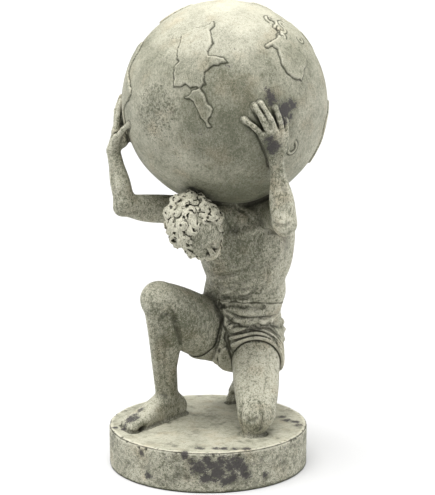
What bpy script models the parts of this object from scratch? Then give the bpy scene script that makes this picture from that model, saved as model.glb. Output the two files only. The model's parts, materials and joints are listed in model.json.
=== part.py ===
"""Kneeling bearded figure with a globe on its shoulders, cast in one piece with its round plinth.

The figure is modelled as clay: rounded forms are blended into a block of cells that hold the distance to the
surface, and the surface is taken out of the block as a mesh. Its places are in units of a standing height of
520, with x to the viewer's right, y away from the viewer and z up from the top of the plinth.
"""

import bmesh
import bpy
import numpy as np
import openvdb
from mathutils import Vector

# Sizes in metres.
PLINTH_RADIUS = 0.1106
PLINTH_HEIGHT = 0.0441
PLINTH_EDGE = 0.0022
GLOBE_RADIUS = 0.1109
LAND_HEIGHT = 0.0022
FIGURE_HEIGHT = 0.520
CLOTH_THICKNESS = 0.0024
LOCK_THICKNESS = 0.0032

UNIT = FIGURE_HEIGHT / 520
CELL = 1.9
FAR = 14.0
BLOCK_LOW, BLOCK_HIGH = (-122, -112, -7), (112, 116, 380)
FIGURE_TRIANGLES = 6150
GLOBE_TRIANGLES = 2250
PLINTH_SIDES = 80

# The globe rests on the shoulders at this point, and the head bows in front of it.
SEAT = np.array((18.8, 15.0, 244.1))
GLOBE_R = GLOBE_RADIUS / UNIT
GLOBE = SEAT + (0, 0, GLOBE_R)
PELVIS = np.array((33.0, 57, 92))
BELLY = np.array((39.0, 43, 132))
CHEST = np.array((41.0, 22, 186))
NECK = np.array((26.0, 4, 240))
HEAD = np.array((-12.5, -51, 229))
HIPS = {"right": np.array((13.0, 56, 88)), "left": np.array((54.0, 55, 90))}
KNEES = {"right": np.array((-53.5, -22, 145)), "left": np.array((53.0, -44, 23))}
ANKLES = {"right": np.array((-47.0, 24, 20)), "left": np.array((47.0, 60, 33))}
SHOULDERS = {"right": np.array((-20.0, 32, 234)), "left": np.array((74.0, -2, 238))}
ELBOWS = {"right": np.array((-90.0, -8, 247)), "left": np.array((80.0, -84, 238))}
UP = np.array((0, 0, 1.0))

# Edges of the land on the globe, as (east, north) in degrees from the middle of the front.
LANDS = (
    ((-11, 53), (-15, 49), (-21, 48), (-27, 46), (-32, 41), (-31, 33), (-28, 26), (-30, 18), (-29, 12), (-22, 15),
     (-14, 12), (-12, 20), (-7, 24), (1, 26), (-1, 29), (-10, 30), (-12, 32), (-8, 37), (-11, 43), (-13, 46)),
    ((-14, 12), (-22, 7), (-17, 5), (-14, 0), (-11, -6), (-10, -9), (-8, -8), (-9, -5), (-7, 1), (-11, 7)),
    ((45, 57), (57, 54), (72, 53), (76, 43), (60, 31), (57, 25), (50, 20), (43, 16), (37, 19), (34, 25),
     (35, 33), (27, 35), (37, 40), (45, 45), (42, 48), (49, 52)),
)
# Further lands, each with its middle, its half size in degrees and a seed for its coast.
FAR_LANDS = (((-92, 8), 27, 1), ((-128, 52), 22, 2), ((150, 34), 33, 3), ((172, -24), 25, 4), ((100, -14), 20, 5),
             ((112, 30), 15, 6))


def unit(vector):
    vector = np.asarray(vector, float)
    return vector / np.linalg.norm(vector)


def frame(long, toward):
    """Three axes as rows: along a form, across it, and the way it faces."""
    along = unit(long)
    face = np.asarray(toward, float)
    face = unit(face - along * (face @ along))
    return np.array([along, np.cross(face, along), face])


def between(first, last, share):
    return np.asarray(first, float) * (1 - share) + np.asarray(last, float) * share


# A form is its low corner, its high corner and a function that gives the distance to it.


def ball(centre, radius):
    return egg(centre, (radius, radius, radius))


def egg(centre, radii, axes=np.eye(3)):
    centre, radii = np.asarray(centre, float), np.asarray(radii, float)
    reach = np.sqrt(((np.asarray(axes) * radii[:, None]) ** 2).sum(axis=0))

    def distance(x, y, z):
        x, y, z = x - centre[0], y - centre[1], z - centre[2]
        near, steep = 0.0, 0.0
        for axis, size in zip(axes, radii):
            along = (x * axis[0] + y * axis[1] + z * axis[2]) / size
            near = near + along ** 2
            steep = steep + (along / size) ** 2
        near = np.sqrt(near)
        return near * (near - 1) / np.sqrt(np.maximum(steep, 1e-9))

    return centre - reach, centre + reach, distance


def muscle(start, end, width, depth, facing):
    """A spindle between two points, a little longer than the space between them."""
    start, end = np.asarray(start, float), np.asarray(end, float)
    half = 0.56 * np.linalg.norm(end - start)
    return egg((start + end) / 2, (half, width, depth), frame(end - start, facing))


def curve(points, steps):
    """Points along a smooth curve that passes through the given ones."""
    p = np.asarray(points, float)
    p = np.vstack([2 * p[0] - p[1], p, 2 * p[-1] - p[-2]])
    t = (np.arange(steps) / steps)[:, None]
    spans = [0.5 * (2 * p[i] + (p[i + 1] - p[i - 1]) * t
                    + (2 * p[i - 1] - 5 * p[i] + 4 * p[i + 1] - p[i + 2]) * t ** 2
                    + (3 * p[i] - p[i - 1] - 3 * p[i + 1] + p[i + 2]) * t ** 3) for i in range(1, len(p) - 2)]
    return np.vstack(spans + [p[-2:-1]])


def strand(points, radii, steps=4):
    """A round rope through the points, with a radius at each of them."""
    radii = np.broadcast_to(np.asarray(radii, float), len(points))
    line = curve(np.column_stack([np.asarray(points, float), radii]), steps)
    low = (line[:, :3] - line[:, 3:]).min(axis=0)
    high = (line[:, :3] + line[:, 3:]).max(axis=0)

    def distance(x, y, z):
        best = FAR
        for a, b in zip(line[:-1], line[1:]):
            d = b - a
            t = ((x - a[0]) * d[0] + (y - a[1]) * d[1] + (z - a[2]) * d[2]) / max(d[:3] @ d[:3], 1e-9)
            t = np.clip(t, 0, 1)
            off = (x - a[0] - t * d[0]) ** 2 + (y - a[1] - t * d[1]) ** 2 + (z - a[2] - t * d[2]) ** 2
            best = np.minimum(best, np.sqrt(off) - (a[3] + t * d[3]))
        return best

    return low, high, distance


def bone(start, end, first, last):
    return strand([start, end], [first, last], 1)


class Clay:
    """A block of cells, each holding its distance to the surface, which is less than 0 inside."""

    def __init__(self, low, high, cell):
        self.cell = cell
        self.first = np.floor(np.asarray(low) / cell).astype(int)
        count = np.ceil(np.asarray(high) / cell).astype(int) - self.first + 1
        self.field = np.full(count, FAR, np.float32)

    def window(self, low, high, margin):
        """The cells round a box, as slices and as their coordinates."""
        a = np.floor((np.asarray(low) - margin) / self.cell).astype(int) - self.first
        b = np.ceil((np.asarray(high) + margin) / self.cell).astype(int) - self.first + 1
        a, b = np.clip(a, 0, self.field.shape), np.clip(b, 0, self.field.shape)
        lines = [((np.arange(i, j) + f) * self.cell).astype(np.float32) for i, j, f in zip(a, b, self.first)]
        return tuple(map(slice, a, b)), np.ix_(*lines)

    def add(self, form, blend):
        """Joins a form to the clay, with a fillet as wide as the blend."""
        low, high, distance = form
        cells, grid = self.window(low, high, min(FAR, blend + 5))
        self.field[cells] = soft_least(self.field[cells], distance(*grid), blend)

    def carve(self, form, blend):
        low, high, distance = form
        cells, grid = self.window(low, high, blend)
        self.field[cells] = -soft_least(-self.field[cells], distance(*grid), blend)

    def depth(self, points):
        """The distance at any points, read between the cells."""
        at = np.asarray(points, float) / self.cell - self.first
        base = np.clip(np.floor(at).astype(int), 0, np.array(self.field.shape) - 2)
        part = np.clip(at - base, 0, 1)
        total = 0.0
        for step in np.ndindex(2, 2, 2):
            share = np.where(step, part, 1 - part).prod(axis=1)
            total = total + share * self.field[tuple((base + step).T)]
        return total

    def settle(self, points, lift=0.0):
        """The points moved onto the surface, or a lift above it."""
        points = np.array(points, float)
        for _ in range(8):
            slope = np.stack([self.depth(points + self.cell * axis) - self.depth(points - self.cell * axis)
                              for axis in np.eye(3)], axis=1)
            slope /= np.maximum(np.linalg.norm(slope, axis=1, keepdims=True), 1e-6)
            points -= slope * (self.depth(points) - lift)[:, None] * 0.8
        return points

    def skin(self, starts, ways, reach, lift=0.0):
        """The outermost points of the surface along rays from inside."""
        steps = np.arange(0, reach, 0.5)
        found = []
        for start, way in zip(np.broadcast_to(starts, np.shape(ways)), ways):
            inside = np.nonzero(self.depth(start + way * steps[:, None]) < 0)[0]
            found.append(start + way * steps[inside.max(initial=0)])
        return self.settle(found, lift)

    def join(self, other, blend):
        self.field = soft_least(self.field, other.field, blend)

    def spread(self, solid, width, reach):
        """Lets the clay run out in a fillet over a solid that it touches."""
        cells, grid = self.window(BLOCK_LOW, BLOCK_HIGH, 0)
        field = self.field[cells]
        run = np.maximum(soft_least(field, solid(*grid) + 0.4, width), field - reach)
        self.field[cells] = np.minimum(field, run)

    def mesh(self, name):
        grid = openvdb.FloatGrid(FAR)
        grid.copyFromArray(self.field)
        points, triangles, quads = grid.convertToPolygons(0.0, 0.0)
        points = (points + self.first) * self.cell * UNIT + (0, 0, PLINTH_HEIGHT)
        mesh = bpy.data.meshes.new(name)
        mesh.from_pydata(points.tolist(), [], quads.tolist() + triangles.tolist())
        return mesh


def soft_least(first, second, blend):
    soft = np.maximum(blend - np.abs(first - second), 0)
    return np.minimum(first, second) - soft ** 2 / (4 * blend)


def on_globe(*directions):
    """Points by their direction from the globe's middle and their height over its surface."""
    return [GLOBE + unit(d[:3]) * (GLOBE_R + d[3]) for d in directions]


WRISTS = {"right": on_globe((-0.918, -0.105, -0.381, 21))[0], "left": on_globe((0.448, -0.757, -0.476, 6.7))[0]}
ACROSS = unit((0.955, -0.285, 0.03))
SPINE = unit(NECK - PELVIS)
TRUNK = frame(SPINE, np.cross(ACROSS, SPINE))
FRONT = TRUNK[2]


def on_trunk(base, up=0.0, across=0.0, front=0.0):
    return base + SPINE * up + ACROSS * across + FRONT * front


def torso(clay):
    clay.add(egg(on_trunk(PELVIS, 6), (36, 37, 31), TRUNK), 4)
    clay.add(egg(BELLY, (42, 43, 31), TRUNK), 14)
    clay.add(egg(CHEST, (52, 49, 35), TRUNK), 16)
    clay.add(egg(on_trunk(CHEST, 34, 0, -4), (26, 50, 24), TRUNK), 14)
    for side in (-1, 1):
        back = frame(SPINE + side * 0.22 * ACROSS, FRONT)
        clay.add(egg(on_trunk(CHEST, 2, side * 39, -8), (40, 13, 18), back), 12)
        clay.add(egg(on_trunk(CHEST, 25, side * 22, 20), (19, 24, 9), TRUNK), 15)
        clay.add(egg(on_trunk(CHEST, 22, side * 25, -28), (22, 14, 7), back), 8)
        clay.add(egg(on_trunk(CHEST, -38, side * 11, -27), (40, 9, 9), TRUNK), 8)
        clay.add(egg(on_trunk(BELLY, 8, side * 33, 2), (20, 10, 17), TRUNK), 7)
        clay.add(egg(PELVIS + (side * 18, 23, -10), (22, 19, 24)), 9)
        ribs(clay, side)
        collar = [on_trunk(CHEST, up, side * across, front) for up, across, front in
                  ((42, 5, 29), (46, 20, 25), (50, 40, 14))]
        clay.add(strand(collar, 3.8), 3)
        chest = [on_trunk(CHEST, up, side * across, front) for up, across, front in
                 ((12, 4, 36), (5, 24, 35), (16, 42, 24))]
        clay.carve(strand(clay.settle(chest, 0.9), [1.4, 2.4, 1.6]), 4)
        for up in (40, 28, 16, 2, -12):
            clay.add(egg(on_trunk(BELLY, up, side * 9.5, 28 + 0.06 * up), (6.5, 8.5, 6.5), TRUNK), 2.5)
    clay.add(egg(on_trunk(BELLY, 12, 38, 0), (19, 12, 17), TRUNK), 6)
    belly_folds(clay)
    clay.add(strand([NECK + (6, 12, -8), NECK, HEAD + (12, 20, 2)], [21, 19, 16]), 9)
    for side in ("right", "left"):
        clay.add(bone(NECK + (4, 14, -4), SHOULDERS[side] + (0, 6, 2), 18, 15), 9)


def ribs(clay, side):
    """Slips of muscle that run down over the ribs."""
    for i in range(4):
        start = on_trunk(CHEST, 2 - 9 * i, side * (42 - 1.5 * i), 6 + 1.5 * i)
        end = on_trunk(CHEST, -7 - 8 * i, side * (30 - 2.5 * i), 24 + 0.5 * i)
        clay.add(muscle(start, end, 4.4, 4.4, FRONT + side * ACROSS), 3)


def belly_folds(clay):
    """Furrows down the breastbone and the spine, and the folds of the bent belly."""
    front = [on_trunk(CHEST, 36, 0, 40), on_trunk(CHEST, 6, 0, 41), on_trunk(BELLY, 20, 0, 36)]
    clay.carve(strand(front, [3.2, 3.2, 2.2]), 4)
    back = [on_trunk(CHEST, 40, 0, -37), on_trunk(CHEST, 0, 0, -41), on_trunk(BELLY, 0, 0, -36)]
    clay.carve(strand(back, [3, 3.5, 3]), 7)
    for up, reach, deep in ((35, 26, 2.6), (23, 29, 2.4), (10, 36, 3.2), (-3, 30, 2.2)):
        line = [on_trunk(BELLY, up - 0.004 * across ** 2, across, 40)
                for across in np.linspace(-reach, reach, 9)]
        clay.carve(strand(clay.settle(line, 0.4), deep, 2), 1.8)


def arm(clay, side, bend):
    """Upper arm, elbow and forearm. The crook of the elbow faces the bend."""
    shoulder, elbow, wrist = SHOULDERS[side], ELBOWS[side], WRISTS[side]
    crook = unit(bend)
    upper, lower = elbow - shoulder, wrist - elbow
    drop = 3 if side == "right" else 0
    clay.add(egg(shoulder, (21, 19, 20), frame(upper, UP)), 10)
    clay.add(bone(shoulder, elbow, 15, 11.5), 8)
    clay.add(muscle(shoulder - 0.05 * upper, shoulder + 0.62 * upper, 15, 14, UP), 7)
    start, end = shoulder + 0.22 * upper + 5 * crook, shoulder + 0.92 * upper + 4 * crook
    clay.add(muscle(start, end, 9.5, 10, crook), 4)
    start, end = shoulder + 0.15 * upper - (6 + drop) * crook, shoulder + 0.95 * upper - (4 + drop) * crook
    clay.add(muscle(start, end, 11, 10.5, crook), 3)
    clay.add(bone(elbow, wrist, 11, 7.4), 6)
    out = unit(np.cross(lower, crook))
    for way in (-1, 1):
        start, end = elbow - 0.04 * lower + 5.5 * way * out, elbow + 0.73 * lower + 2.5 * way * out
        clay.add(muscle(start, end, 9, 10, crook), 4)
    start, end = elbow - 0.16 * lower + 3 * crook + 4 * out, elbow + 0.45 * lower + 5 * crook
    clay.add(muscle(start, end, 6, 6, crook), 4)
    clay.add(ball(elbow - 6.5 * crook, 6.5), 5)


def leg(clay, side):
    hip, knee, ankle = HIPS[side], KNEES[side], ANKLES[side]
    thigh, shin = knee - hip, ankle - knee
    out = unit(np.cross(thigh, shin))
    top = frame(thigh, UP)[2]
    shin_front = -frame(shin, -thigh)[2]
    more = 3 if side == "right" else 0
    furrows = []
    clay.add(bone(hip, knee, 31, 20), 10)
    start, end = hip + 0.02 * thigh + (8 + more) * top, knee + (5 + more) * top
    clay.add(muscle(start, end, 19, 18, top), 7)
    start, end = hip + 0.04 * thigh - (17 + more) * top, hip + 0.84 * thigh - (14 + more) * top
    clay.add(muscle(start, end, 20, 20, top), 8)
    clay.add(bone(knee, ankle, 16.5, 10.4 + 0.6 * more), 6)
    for way in (-1, 1):
        start = hip + 0.25 * thigh + 13 * way * out + 4 * top
        end = knee - 0.02 * thigh + 11 * way * out + 4 * top
        clay.add(muscle(start, end, 12, 13, top), 6)
        start = hip + 0.05 * thigh + 11 * way * out - 12 * top
        end = hip + 0.92 * thigh + 9 * way * out - 7 * top
        clay.add(muscle(start, end, 12, 12, top), 8)
        clay.add(ball(knee + 8 * way * out + top, 11.5), 4)
        furrows.append([knee + 0.1 * shin + 7 * way * out + 9 * shin_front,
                        knee + 0.5 * shin + 6 * way * out + 8 * shin_front,
                        ankle - 0.1 * shin + 5 * way * out + 5 * shin_front])
        start = knee + 0.04 * shin + 6.5 * way * out - 7 * shin_front
        clay.add(muscle(start, knee + 0.66 * shin + 6 * way * out - 6 * shin_front, 11, 11.5, shin_front), 4)
        clay.add(ball(ankle + 9 * way * out + 2 * shin_front, 5), 6)
    start, end = knee + 0.12 * shin + 3 * shin_front, knee + 0.85 * shin + 4 * shin_front
    clay.add(muscle(start, end, 9.5, 9, shin_front), 3)
    edge = [knee + 0.12 * shin + 13 * shin_front, knee + 0.45 * shin + 11 * shin_front, ankle + 8 * shin_front]
    clay.add(strand(edge, [5, 4, 4]), 3)
    tendon = [knee + 0.45 * shin - 10 * shin_front, ankle - 9 * shin_front, ankle + 0.1 * shin - 9 * shin_front]
    clay.add(strand(tendon, [7, 4.5, 5]), 5)
    for furrow in furrows:
        clay.carve(strand(clay.settle(curve(furrow, 3), 0.5), 2.0, 1), 3)
    cap = unit(shin_front + top)
    clay.add(egg(knee + 14 * cap, (9, 8.5, 5.5), frame(np.cross(cap, out), cap)), 2.5)
    clay.add(bone(knee + 15 * cap, knee + 0.18 * shin + 13 * shin_front, 4.2, 3.4), 3)


def foot(clay, ankle, heel, tread, tip, across, arch):
    """A foot from the heel over its tread to the toes. Across points to the big toe."""
    across, arch = unit(across), unit(arch)
    clay.add(egg((ankle + heel) / 2, (16, 10.5, 12), frame(ankle - heel, tread - heel)), 7)
    clay.add(ball(heel, 10), 7)
    for way, size in ((0.85, 7.0), (0.3, 7.0), (-0.3, 6.2), (-0.85, 5.4)):
        start = ankle + 5 * way * across + 0.15 * (tread - ankle)
        end = tread + 10.5 * way * across
        middle = (start + end) / 2 + (2.5 if way > 0 else 1.0) * arch
        clay.add(strand([start, middle, end], [size + 3, size + 0.6, size - 0.4]), 4)
        clay.add(bone(heel + 4 * way * across, end, 7, size - 1), 5)
    for i, (size, further) in enumerate(zip((5.2, 4.0, 3.8, 3.6, 3.6), (0.12, 0.1, 0.0, -0.16, -0.36))):
        way = 1.05 - 0.52 * i
        base = tread + 10.5 * way * across
        end = tip + 12.0 * way * across + (tip - tread) * further + (size - 4) * arch
        clay.add(strand([base, (base + end) / 2 + 2.2 * arch, end], [size, size * 0.86, size * 0.92]), 1.2)


def feet(clay):
    aim = np.array((-0.68, -0.73, 0))
    foot(clay, ANKLES["right"], np.array((-36.0, 34, 10)), np.array((-77.0, -14, 6.5)),
         np.array((-89.0, -28, 4.0)), np.cross(UP, aim), UP)
    foot(clay, ANKLES["left"], np.array((47.0, 75, 50)), np.array((40.0, 88, 11)),
         np.array((38.0, 78, 4.5)), (-1, -0.1, 0), (0.1, -0.6, 0.5))


def hand(clay, wrist, knuckles, fingers, thumb, back):
    """Knuckles and fingers run from the first finger to the little one."""
    back = unit(back)
    for knuckle in knuckles:
        clay.add(strand([wrist, (wrist + knuckle) / 2 + 0.8 * back, knuckle], [6.2, 4.7, 4.0]), 2.5)
        clay.add(ball(knuckle + 0.8 * back, 4.0), 1.6)
    for knuckle, finger, size in zip(knuckles, fingers, (3.9, 4.0, 3.8, 3.4)):
        clay.add(strand([knuckle] + finger, (size + 0.5, size, size - 0.7)), 1.2)
        clay.add(ball(finger[0] + 0.6 * back, size), 1.2)
    clay.add(strand([wrist] + thumb, np.linspace(6.5, 3.4, len(thumb) + 1)), 2.2)


def hands(clay):
    hand(clay, WRISTS["left"],
         on_globe((0.485, -0.85, -0.215, 6), (0.43, -0.885, -0.19, 7), (0.375, -0.91, -0.19, 6.5),
                  (0.325, -0.925, -0.215, 5)),
         [on_globe((0.475, -0.872, -0.10, 5.5), (0.452, -0.893, 0.02, 2.2)),
          on_globe((0.385, -0.92, -0.07, 6), (0.315, -0.947, 0.065, 2.4)),
          on_globe((0.325, -0.943, -0.08, 5.8), (0.262, -0.963, 0.045, 2.3)),
          on_globe((0.25, -0.96, -0.14, 4.6), (0.165, -0.983, -0.075, 2.0))],
         on_globe((0.50, -0.81, -0.33, 7), (0.525, -0.82, -0.22, 5), (0.545, -0.83, -0.10, 2.0)),
         (0, -1, 0))
    hand(clay, WRISTS["right"],
         on_globe((-0.972, -0.017, -0.233, 8), (-0.972, -0.081, -0.219, 10), (-0.960, -0.150, -0.237, 12),
                  (-0.937, -0.210, -0.280, 13)),
         [on_globe((-0.955, 0.18, -0.09, 6), (-0.975, 0.2, 0.05, 2.3)),
          on_globe((-0.985, 0.02, -0.07, 7), (-0.995, 0.04, 0.06, 2.6)),
          on_globe((-0.975, -0.12, -0.12, 6.5), (-0.985, -0.1, 0.03, 2.4)),
          on_globe((-0.935, -0.27, -0.22, 5.2), (-0.915, -0.365, -0.17, 2.0))],
         on_globe((-0.93, 0.02, -0.32, 10), (-0.93, 0.14, -0.24, 5), (-0.93, 0.24, -0.14, 2.0)),
         (-1, 0, 0))
    clay.add(egg(on_globe((-0.935, -0.08, -0.30, 7))[0], (8, 10, 12)), 5)


# The cloth: two guide lines for the folds that fan over the belly, and two for those at the raised thigh.
FAN_TOP = ((0, 14, 138), (14, 14, 131), (30, 13, 126), (47, 11, 123), (64, 17, 120), (80, 38, 116))
FAN_LOW = ((17, 17, 114), (22, 18, 102), (32, 19, 96), (44, 16, 99), (59, 17, 103), (76, 28, 101))
GROIN_IN = ((7, 17, 130), (15, 16, 121), (17, 15, 106), (16, 17, 88), (17, 24, 66))
GROIN_OUT = ((-6, 8, 133), (1, 6, 127), (7, 7, 115), (8, 9, 98), (6, 15, 80))


def waist(x, y, z):
    """Height over the sloping waist line."""
    return z - 121 - 0.15 * (80 - x) - 0.15 * (39 - y)


def hem_left(cosine):
    """The hem's place along the kneeling thigh, highest on its top."""
    return 0.32 + 0.06 * np.minimum(1 - cosine, 1.3)


def hem_right(cosine):
    return 0.19 + 0.03 * (1 - cosine)


def past_hem(side, hem, x, y, z):
    hip, thigh = HIPS[side], KNEES[side] - HIPS[side]
    along, across, top = [(x - hip[0]) * n[0] + (y - hip[1]) * n[1] + (z - hip[2]) * n[2]
                          for n in frame(thigh, UP)]
    cosine = top / np.maximum(np.sqrt(across ** 2 + top ** 2), 1e-3)
    return along - hem(cosine) * np.linalg.norm(thigh)


def cloth_room(x, y, z):
    """Less than 0 where the cloth lies: under the waist, above both hems and clear of the lower legs."""
    knee = KNEES["left"]
    calf = 0.335 * (y - knee[1]) - 0.94 * (z - knee[2]) + 4
    room = np.maximum(np.maximum(waist(x, y, z), calf), -30 - x)
    past = np.maximum(past_hem("right", hem_right, x, y, z), past_hem("left", hem_left, x, y, z))
    return np.maximum(room, past)


def cloth(clay):
    """A cloth wound round the hips, as an offset of the body with folds on it."""
    sheet = Clay(BLOCK_LOW, BLOCK_HIGH, clay.cell)
    sheet.field[:] = clay.field
    sheet.add(egg((27, 30, 70), (15, 17, 15)), 8)
    sheet.add(egg((26, 28, 92), (17, 14, 20)), 10)
    cells, grid = sheet.window((-60, -40, 0), (110, 115, 160), 0)
    kept = np.maximum(sheet.field[cells] - CLOTH_THICKNESS / UNIT, cloth_room(*grid))
    sheet.field[:] = FAR
    sheet.field[cells] = np.minimum(kept, FAR)
    hip, thigh = HIPS["left"], KNEES["left"] - HIPS["left"]
    angle = np.linspace(-2.2, 2.2, 17)
    axes = frame(thigh, UP)
    ways = np.outer(np.cos(angle), axes[2]) + np.outer(np.sin(angle), axes[1])
    for back, size, lift in ((0.0, 2.0, 0.4), (0.055, 2.2, 0.9), (0.115, 2.0, 0.7), (0.18, 1.9, 0.4)):
        share = hem_left(np.cos(angle)) - 0.012 - back * (1 - 0.45 * np.abs(angle) / 2.2)
        sheet.add(strand(sheet.skin(hip + np.outer(share, thigh), ways, 46, lift), size, 2), 1.6)
    for i, size in enumerate((2.2, 1.8, 2.2, 1.8)):
        line = sheet.settle(curve(between(GROIN_OUT, GROIN_IN, i / 3), 3), 0.5)
        sheet.add(strand(line, size, 1), 1.4)
    for i in range(7):
        line = sheet.settle(curve(between(FAN_TOP, FAN_LOW, i / 6), 3), 0.6)
        sheet.add(strand(line, np.interp(np.linspace(0, 1, len(line)), (0, 0.3, 1), (1.3, 2.2, 1.8)), 1), 1.4)
    knot = sheet.settle([(80, 41, 104)])[0]
    for i in range(5):
        ends = [knot + (-9, -6, 6 - 3 * i), knot + (0, -1, 2 - 3 * i),
                knot + (1 + 0.3 * i, 1 - 3 * i, 1 - 6.5 * i)]
        sheet.add(strand(ends, [1.8, 3.2, 2.0], 3), 1.5)
    for i in range(6):
        angle = np.linspace(-1.9, 1.5, 12) + np.pi / 2
        height = 17 - 8.0 * i + 4 * np.cos(2.5 * angle + 0.8 * i)
        ways = np.column_stack([np.cos(angle), np.sin(angle), 0 * angle])
        line = sheet.skin(PELVIS + np.outer(height, UP), ways, 70, 0.3)
        line = line[waist(*line.T) < -2]
        if len(line) > 3:
            sheet.add(strand(line, 1.9, 2), 2.4)
    clay.join(sheet, 1.2)


# The head bows: its crown points up, left and to the viewer, and its face down to the chest.
HEAD_SIZE = 1.12
CROWN = unit((-0.25, -0.76, 0.58))
HEAD_AXES = frame(CROWN, (0.53, -0.32, -0.79))
SIDEWAYS, FACE = HEAD_AXES[1], HEAD_AXES[2]


def on_head(across=0.0, front=0.0, up=0.0):
    return HEAD + (SIDEWAYS * across + FACE * front + CROWN * up) * HEAD_SIZE


def curl(clay, centre, normal, turn, size, thick, sweep, hole):
    """A lock of hair wound on the surface: it starts wide and low and ends small and high."""
    axes = frame(turn, normal)
    share = np.linspace(0, 1, 7)
    angle, reach = sweep * share, size * (1 - 0.72 * share)
    points = (centre + np.outer(reach * np.cos(angle), axes[0]) + np.outer(reach * np.sin(angle), axes[1])
              + np.outer((0.2 + share) * thick, normal))
    clay.add(strand(points, thick * (0.85 + 0.25 * np.sin(np.pi * share)) * (1 - 0.25 * share), 2), 0.8)
    if hole:
        clay.carve(ball(centre + normal * thick * 0.5, size * 0.24), 0.8)


def face(clay):
    """Skull, jaw and calm, evenly spaced features."""
    big = HEAD_SIZE
    clay.add(egg(on_head(0, -2, 7), (26 * big, 22.5 * big, 28 * big), HEAD_AXES), 6)
    clay.add(egg(on_head(0, 9, -14), (18 * big, 15.5 * big, 15.5 * big), HEAD_AXES), 8)
    brow = [on_head(-14, 18.5, 4.5), on_head(-6, 24, 6), on_head(6, 24, 6), on_head(14, 18.5, 4.5)]
    clay.add(strand(brow, 3.2), 3)
    clay.add(strand([on_head(0, 24, 4), on_head(0, 28, -4), on_head(0, 31, -10)], [2.2, 2.5, 3.4]), 2.5)
    for side in (-1, 1):
        clay.add(ball(on_head(side * 3.4, 27.5, -11.5), 2.5), 1.5)
        clay.carve(ball(on_head(side * 8, 25, 0), 4.6), 3)
        clay.add(ball(on_head(side * 8, 19.4, -0.6), 4.8), 1)
        clay.add(ball(on_head(side * 12.5, 15.5, -6.5), 6.6), 5)
        clay.add(egg(on_head(side * 22, -1, -3), (7.5, 2.8, 5), HEAD_AXES), 2)
    for up, size in ((-18, 1.7), (-20.8, 1.9)):
        clay.add(strand([on_head(-5, 24.5, up), on_head(0, 26.5, up), on_head(5, 24.5, up)], size), 1.2)


def hair(clay, count=72, size=8.0, thick=LOCK_THICKNESS / UNIT, seed=4):
    """Curls over the crown and the back of the head, and a short curled beard."""
    draw = np.random.default_rng(seed)
    golden = np.pi * (3 - np.sqrt(5))
    for i in range(count):
        height = 1 - 1.55 * (i + 0.5) / count
        ring = np.sqrt(1 - height ** 2)
        way = CROWN * height + ring * (np.cos(golden * i) * SIDEWAYS + np.sin(golden * i) * FACE)
        if way @ FACE > 0.60 + 0.25 * abs(way @ SIDEWAYS) and height < 0.80:
            continue
        spot = clay.settle([on_head(0, -2, 7) + way * 24])[0]
        curl(clay, spot, way, draw.normal(size=3), size * draw.uniform(0.8, 1.15),
             thick * draw.uniform(0.85, 1.1), draw.uniform(3.4, 5.4), True)
    for row, up in enumerate((-16, -23, -29)):
        for share in np.linspace(-1, 1, 9 - row):
            if row == 0 and abs(share) < 0.4:
                continue
            swing = share * 1.75
            spot = on_head(np.sin(swing) * (16 - row * 2), 9 + np.cos(swing) * (15 - row),
                           up - 3 * np.cos(swing))
            normal = unit(SIDEWAYS * np.sin(swing) + FACE * np.cos(swing) * 0.9 - CROWN * (0.1 + 0.35 * row))
            curl(clay, spot + normal, normal, draw.normal(size=3), 4.6, thick * 0.7,
                 draw.uniform(3.4, 5.0), False)
    for side in (-1, 1):
        line = [on_head(side, 26.8, -14.6), on_head(side * 5, 25, -16), on_head(side * 9.5, 20.5, -20)]
        clay.add(strand(line, [1.6, 2.2, 1.4]), 1)


def figure():
    clay = Clay(BLOCK_LOW, BLOCK_HIGH, CELL)
    torso(clay)
    for side, bend in (("right", (0.75, 0.1, 0.75)), ("left", (0, 0.8, 0.6))):
        leg(clay, side)
        arm(clay, side, bend)
    feet(clay)
    hands(clay)
    cloth(clay)
    face(clay)
    hair(clay)
    clay.spread(lambda x, y, z: z + 0 * x + 0 * y, 5, 4)
    clay.spread(egg(GLOBE, (GLOBE_R, GLOBE_R, GLOBE_R))[2], 5, 4)
    return clay.mesh("figure")


def in_outline(east, north, outline):
    """True for the points inside an outline, by counting the edges that a ray crosses."""
    inside = np.zeros(len(east), bool)
    for (x0, y0), (x1, y1) in zip(outline, outline[1:] + outline[:1]):
        crosses = (y0 > north) != (y1 > north)
        inside ^= crosses & (east < x0 + (north - y0) * (x1 - x0) / (y1 - y0 if y1 != y0 else 1))
    return inside


def far_land(ways, middle, half_size, seed):
    """A land with a wandering coast round its middle."""
    draw = np.random.default_rng(seed)
    east, north = np.radians(middle)
    centre = np.array((np.sin(east) * np.cos(north), -np.cos(east) * np.cos(north), np.sin(north)))
    axes = frame(np.cross(centre, UP), centre)
    off = np.degrees(np.arccos(np.clip(ways @ centre, -1, 1)))
    turn = np.arctan2(ways @ axes[1], ways @ axes[0])
    coast = 1.0
    for waves in range(2, 9):
        swing = 0.42 / waves ** 0.8 * draw.uniform(0.4, 1)
        coast = coast + swing * np.cos(waves * turn + draw.uniform(0, 6.28))
    return off < half_size * coast


def globe():
    """A ball whose lands stand out from it."""
    shape = bmesh.new()
    bmesh.ops.create_icosphere(shape, subdivisions=7, radius=1)
    ways = np.array([v.co.normalized() for v in shape.verts])
    east = np.degrees(np.arctan2(ways[:, 0], -ways[:, 1]))
    north = np.degrees(np.arcsin(np.clip(ways[:, 2], -1, 1)))
    land = np.zeros(len(ways), bool)
    for outline in LANDS:
        land |= in_outline(east, north, outline)
    for middle, half_size, seed in FAR_LANDS:
        land |= far_land(ways, middle, half_size, seed)
    centre = Vector(GLOBE * UNIT + (0, 0, PLINTH_HEIGHT))
    for vertex, way, raised in zip(shape.verts, ways, land):
        vertex.co = centre + Vector(way) * (GLOBE_RADIUS + LAND_HEIGHT * float(raised))
    mesh = bpy.data.meshes.new("globe")
    shape.to_mesh(mesh)
    shape.free()
    return mesh


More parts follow.
